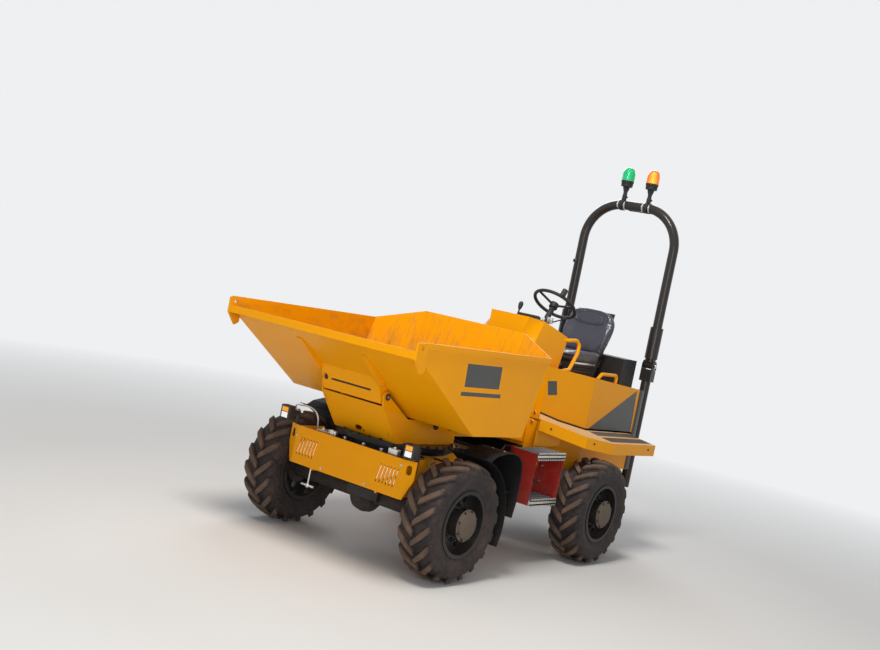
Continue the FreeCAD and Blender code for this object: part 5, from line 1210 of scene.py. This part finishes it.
# Driver's place
class DUMPER_OT_controls(bpy.types.Operator):
    """Adds the instruments, levers, pedals and the seat's bellows"""

    bl_idname = "dumper.controls"
    bl_label = "Controls"

    def execute(self, context):
        # the console's top falls from its brow towards the driver
        top = Matrix.Translation((-0.50, 0, 1.6262)) @ Matrix.Rotation(-0.275, 4, "Y")
        pod = placed(cuboid((-0.065, -0.105, 0.0), (0.060, 0.105, 0.040), 0.010, 3), top)
        hood = placed(cuboid((0.020, -0.095, 0.034), (0.060, 0.095, 0.058), 0.009, 3), top)
        knobs = [placed(drum(0.009, 0.016, bevel=0.002, sides=20), top @ Matrix.Translation((-0.045, y, 0.038)))
                 for y in (-0.075, -0.045, 0.070)]
        boot = placed(turned([(0.0, 0.0), (0.034, 0.0), (0.034, 0.006), (0.026, 0.010), (0.028, 0.016), (0.020, 0.020),
                              (0.022, 0.026), (0.013, 0.032), (0.0, 0.033)], steps=32),
                     Matrix.Translation((-0.560, -0.175, 1.606)) @ Matrix.Rotation(-0.275, 4, "Y"))
        grip = placed(turned([(0.0, 0.0), (0.010, 0.002), (0.016, 0.020), (0.019, 0.040), (0.016, 0.056),
                              (0.008, 0.064), (0.0, 0.066)], steps=28), aimed((-0.606, -0.183, 1.712), (-0.3, -0.05, 1)))
        stalk_knob = placed(turned([(0.0, 0.0), (0.007, 0.001), (0.010, 0.012), (0.009, 0.034), (0.0, 0.040)],
                                   steps=24), aimed((-0.735, 0.128, 1.700), (-0.1, 0.9, 0.4)))
        collar = placed(turned([(0.0225, 0.0), (0.034, 0.0), (0.036, 0.004), (0.036, 0.060), (0.032, 0.066),
                                (0.0225, 0.066)], steps=36, closed=True),
                        aimed((-0.6755, 0, 1.594), (-0.5299, 0, 0.848)))
        lever = rod_along([(-0.572, -0.176, 1.620), (-0.592, -0.180, 1.668), (-0.608, -0.183, 1.716)], 0.0065)
        stalk = rod_along([(-0.705, 0.030, 1.650), (-0.722, 0.080, 1.676), (-0.737, 0.130, 1.702)], 0.005)
        finish_piece("instrument_pod", joined(pod, hood, boot, lever, grip, stalk, stalk_knob, collar, *knobs), "rear_frame",
                     "black_plastic", slot="black_plastic")

        dials = []
        for y, radius in ((-0.020, 0.026), (0.036, 0.016)):
            rim = turned([(radius * 0.86, 0.0), (radius, 0.0), (radius, 0.004), (radius * 0.86, 0.0045)], steps=36,
                         closed=True)
            dials.append(placed(rim, top @ Matrix.Translation((-0.022, y, 0.040))))
        key = placed(cuboid((-0.002, -0.012, 0.0), (0.002, 0.012, 0.026), 0.001),
                     top @ Matrix.Translation((-0.045, 0.070, 0.052)))
        switch = cuboid((-0.722, 0.024, 1.652), (-0.690, 0.064, 1.700), 0.005, 3)
        rails = [cuboid((-1.250, y - 0.012, 1.387), (-0.905, y + 0.012, 1.403), 0.002) for y in (-0.192, 0.192)]
        finish_piece("control_metal", joined(*dials, key, switch, *rails), "rear_frame", "bright_zinc",
                     slot="bare_steel")
        faces = [placed(drum(radius, 0.0015, sides=32), top @ Matrix.Translation((-0.022, y, 0.0402)))
                 for y, radius in ((-0.020, 0.0222), (0.036, 0.0136))]
        finish_piece("dial_faces", joined(*faces), "rear_frame", "clear_lens", slot="lamp_face")

        pads = []
        for y, wide in ((-0.150, 0.040), (-0.070, 0.032), (0.130, 0.040)):
            place = Matrix.Translation((-0.668, y, 1.060)) @ Matrix.Rotation(0.72, 4, "Y")
            pads.append(placed(cuboid((-0.005, -wide, -0.050), (0.005, wide, 0.050), 0.003), place))
            for step in range(5):
                rib = cuboid((-0.0085, -wide + 0.006, -0.040 + 0.018 * step), (-0.004, wide - 0.006, -0.034 + 0.018 * step))
                pads.append(placed(rib, place))
            pads.append(rod_along([(-0.664, y, 1.052), (-0.640, y, 1.040), (-0.6165, y, 1.060)], 0.007))
        # the seat's folded bellows, from the foot up
        folds = []
        for step in range(4):
            out = 0.006 if step % 2 else 0.0
            folds.append(cuboid((-1.245 - out, -0.196 - out, 1.296 + 0.0225 * step),
                                (-0.925 + out, 0.196 + out, 1.3185 + 0.0225 * step), 0.008, 3))
        turn = turned([(0.0, 0.0), (0.020, 0.0), (0.022, 0.004), (0.022, 0.018), (0.017, 0.023), (0.0, 0.024)], steps=32)
        folds.append(placed(turn, aimed((-0.922, 0.085, 1.352), (1, 0, 0))))
        finish_piece("pedals_and_bellows", joined(*pads, *folds), "rear_frame", "black_plastic",
                     slot="black_plastic")
        return {"FINISHED"}


# Hoop, posts and rear
class DUMPER_OT_rear_trim(bpy.types.Operator):
    """Adds clamps and leads to the hoop, and bolts, the hoop's pins, screws and mesh to the body"""

    bl_idname = "dumper.rear_trim"
    bl_label = "Rear trim"

    def execute(self, context):
        clamps, leads = [], []
        for y in (-0.118, 0.110):
            for shift in (-0.030, 0.030):
                band = turned([(0.0385, -0.006), (0.0405, -0.006), (0.0405, 0.006), (0.0385, 0.006)], steps=40,
                              closed=True)
                clamps.append(placed(band, aimed((-1.73, y + shift, 2.7220), (0, 1, 0))))
                clamps.append(placed(hex_bolt(0.011, 0.007), aimed((-1.690, y + shift, 2.722), (1, 0, 0))))
            leads.append(rod_along([(-1.700, y + 0.004, 2.868), (-1.686, y + 0.014, 2.835), (-1.684, y + 0.030, 2.780),
                                    (-1.6875, y + 0.040, 2.735), (-1.700, y + 0.056, 2.700),
                                    (-1.727, y + 0.075, 2.6805)], 0.0032))
        leads.append(rod_along([(-1.727, -0.045, 2.6805), (-1.722, 0.00, 2.6800), (-1.722, 0.09, 2.6800),
                                (-1.727, 0.185, 2.6800)], 0.0032))
        finish_piece("beacon_clamps", joined(*clamps), "rops_hoop", "bright_zinc", slot="bare_steel")
        finish_piece("beacon_leads", joined(*leads), "rops_hoop", "black_plastic", slot="black_plastic")

        heads, screws = [], []
        for side in (1, -1):
            for x, y, z, way in (
                (-0.3195, 0.303, 0.949, (1, 0, 0)), (-0.3195, 0.313, 1.017, (1, 0, 0)),
                (-1.6835, 0.415, 1.180, (-1, 0, 0)), (-1.6835, 0.415, 0.900, (-1, 0, 0)),
                (-1.6835, 0.415, 0.680, (-1, 0, 0)),
            ):
                heads.append(placed(hex_bolt(0.017, 0.009), aimed((x, side * y, z), way)))
            for x, z in ((-0.235, 0.940), (-0.600, 0.875), (-1.420, 0.842)):
                outer = 0.475 + (0.150 + x) / -0.36 * 0.195 if x > -0.51 else 0.670 + (-0.51 - x) / 0.32 * 0.052
                spot = Vector((x, side * min(outer, 0.7135), z))
                way = (0.48, side, 0) if x > -0.51 else (0.16, side, 0) if x > -0.83 else (0, side, 0)
                screws.append(placed(hex_bolt(0.012, 0.005), aimed(spot, way)))
            pin = placed(drum(0.016, 0.010, bevel=0.002, sides=28), aimed((-1.73, side * 0.4735, 1.470), (0, side, 0)))
            ring = placed(turned([(0.0165, -0.0018), (0.0200, -0.0018), (0.0200, 0.0018), (0.0165, 0.0018)], steps=30,
                                 closed=True), aimed((-1.73, side * 0.4785, 1.452), (0, side, 0)))
            heads.extend((pin, ring))
        finish_piece("body_bolts", joined(*heads), "rear_frame", "bright_zinc", slot="bare_steel")
        finish_piece("board_screws", joined(*screws), "rear_frame", "black_paint", slot="black_paint")

        mesh = [cuboid((-1.6755, -0.30 + 0.02 * i, 0.850), (-1.6740, -0.2985 + 0.02 * i, 1.130)) for i in range(31)]
        mesh += [cuboid((-1.6740, -0.30, 0.852 + 0.02 * i), (-1.6725, 0.30, 0.8535 + 0.02 * i)) for i in range(14)]
        finish_piece("grille_mesh", joined(*mesh), "rear_frame", "black_paint", slot="black_paint")
        return {"FINISHED"}


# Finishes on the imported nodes
class DUMPER_OT_finishes(bpy.types.Operator):
    """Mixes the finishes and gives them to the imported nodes"""

    bl_idname = "dumper.finishes"
    bl_label = "Finishes"

    def execute(self, context):
        GROUPS.update({
            "Paint tone": paint_tone_group(),
            "Edge wear": edge_wear_group(),
            "Settled dust": settled_dust_group(),
            "Moulded grain": grain_group(),
        })
        mix_finishes(context.scene.dumper_colours)
        slots = {part["node"]: part["material_slot"] for part in frame["record"]["subparts"]}
        own = {"skip": "skip_paint", "strut_rod": "grey_tube", "front_mudguards": "guard_rubber", "tow_hitch": "cast_parts",
               "headlamps": "black_plastic", "rear_lamps": "black_plastic"}
        for name, node in nodes.items():
            finish = MATERIALS[own.get(name, slots[name])]
            for i in range(len(node.data.materials)):
                node.data.materials[i] = finish
        return {"FINISHED"}


# Studio
class DUMPER_OT_stage(bpy.types.Operator):
    """Sets the floor, the lights and the camera"""

    bl_idname = "dumper.stage"
    bl_label = "Studio"

    def execute(self, context):
        scene = context.scene
        bm = bmesh.new()
        bmesh.ops.create_circle(bm, cap_ends=True, segments=96, radius=60.0)
        mesh = bpy.data.meshes.new("floor")
        bm.to_mesh(mesh)
        bm.free()
        floor = bpy.data.objects.new("floor", mesh)
        context.collection.objects.link(floor)
        material, tree, shader = blank("Studio floor")
        coords = put(tree, "ShaderNodeTexCoord").outputs["Object"]
        away = put(tree, "ShaderNodeVectorMath", {0: coords}, operation="LENGTH").outputs["Value"]
        tone = noise_of(tree, coords, 0.6, 2.0)
        shade_of = blend_colour(tree, tone, (0.64, 0.64, 0.636), (0.67, 0.67, 0.666))
        tree.links.new(shade_of, shader.inputs["Base Color"])
        shader.inputs["Roughness"].default_value = 0.9
        shader.inputs["Specular IOR Level"].default_value = 0.1
        glow = put(tree, "ShaderNodeEmission", {"Color": (0.86, 0.87, 0.88, 1.0), "Strength": 1.0})
        mix = put(tree, "ShaderNodeMixShader")
        tree.links.new(ramp(tree, away, 3.2, 8.5), mix.inputs[0])
        tree.links.new(shader.outputs[0], mix.inputs[1])
        tree.links.new(glow.outputs[0], mix.inputs[2])
        tree.links.new(mix.outputs[0], tree.nodes["Material Output"].inputs["Surface"])
        mesh.materials.append(material)

        world = bpy.data.worlds.new("Studio")
        scene.world = world
        world.use_nodes = True
        tree = world.node_tree
        back = tree.nodes["Background"]
        path = put(tree, "ShaderNodeLightPath")
        seen = maths(tree, "MAXIMUM", path.outputs["Is Camera Ray"], path.outputs["Is Transmission Ray"])
        seen = maths(tree, "MAXIMUM", seen, path.outputs["Is Glossy Ray"])
        tree.links.new(blend_colour(tree, seen, (0.31, 0.315, 0.325), (0.86, 0.87, 0.88)), back.inputs["Color"])
        back.inputs["Strength"].default_value = 1.0

        # name, place, aim, size, watts, colour
        for name, place, aim, size, power, colour in (
            ("key", (3.6, 1.2, 7.4), (0.0, 0.1, 0.8), 2.2, 430.0, (1.0, 0.96, 0.90)),
            ("fill", (5.6, 4.2, 1.9), (0.3, 0.0, 0.8), 4.0, 125.0, (1.0, 0.985, 0.96)),
            ("back", (-5.5, -3.5, 5.5), (-0.4, 0.0, 1.4), 4.0, 190.0, (0.96, 0.98, 1.0)),
        ):
            lamp = bpy.data.lights.new(name, "AREA")
            lamp.shape = "DISK"
            lamp.size = size
            lamp.energy = power
            lamp.color = colour
            holder = bpy.data.objects.new(name, lamp)
            holder.location = place
            holder.rotation_euler = (Vector(aim) - Vector(place)).to_track_quat("-Z", "Y").to_euler()
            context.collection.objects.link(holder)

        right = Vector((-0.58953, 0.78262, 0.19989))
        down = Vector((-0.08784, 0.18389, -0.97901))
        forward = Vector((-0.80296, -0.59472, -0.03966))
        view = Matrix((right, -down, -forward)).transposed().to_4x4()
        data = bpy.data.cameras.new("camera")
        data.sensor_fit = "HORIZONTAL"
        data.sensor_width = 36.0
        data.lens = 48.84
        data.clip_end = 200.0
        camera = bpy.data.objects.new("camera", data)
        camera.matrix_world = Matrix.Translation((7.03848, 4.77299, 1.83442)) @ view
        context.collection.objects.link(camera)
        scene.camera = camera
        scene.view_settings.view_transform = "Standard"
        return {"FINISHED"}


PIECES = (
    DUMPER_OT_stage,
    DUMPER_OT_finishes,
    DUMPER_OT_tyres,
    DUMPER_OT_wheel_fixings,
    DUMPER_OT_seat,
    DUMPER_OT_beacons,
    DUMPER_OT_lamps,
    DUMPER_OT_treads,
    DUMPER_OT_panels,
    DUMPER_OT_front_trim,
    DUMPER_OT_skip_trim,
    DUMPER_OT_controls,
    DUMPER_OT_rear_trim,
)
SETTINGS = {
    "dumper_colours": DumperColours,
    "dumper_tyres": DumperTyres,
    "dumper_seat": DumperSeat,
    "dumper_fittings": DumperFittings,
}


class DUMPER_PT_pieces(bpy.types.Panel):
    """Lists the dumper's pieces and their sizes"""

    bl_label = "Site dumper"
    bl_idname = "DUMPER_PT_pieces"
    bl_space_type = "VIEW_3D"
    bl_region_type = "UI"
    bl_category = "Dumper"

    def draw(self, context):
        column = self.layout.column()
        for piece in PIECES:
            column.operator(piece.bl_idname)
        for name, group in SETTINGS.items():
            box = self.layout.box()
            for key in group.__annotations__:
                box.prop(getattr(context.scene, name), key)


def register():
    for group in SETTINGS.values():
        bpy.utils.register_class(group)
    for piece in PIECES:
        bpy.utils.register_class(piece)
    bpy.utils.register_class(DUMPER_PT_pieces)
    for name, group in SETTINGS.items():
        setattr(bpy.types.Scene, name, PointerProperty(type=group))


def unregister():
    for name in SETTINGS:
        delattr(bpy.types.Scene, name)
    bpy.utils.unregister_class(DUMPER_PT_pieces)
    for piece in reversed(PIECES):
        bpy.utils.unregister_class(piece)
    for group in SETTINGS.values():
        bpy.utils.unregister_class(group)


def main():
    register()
    for piece in PIECES:
        group, name = piece.bl_idname.split(".")
        getattr(getattr(bpy.ops, group), name)()


if __name__ == "__main__":
    main()
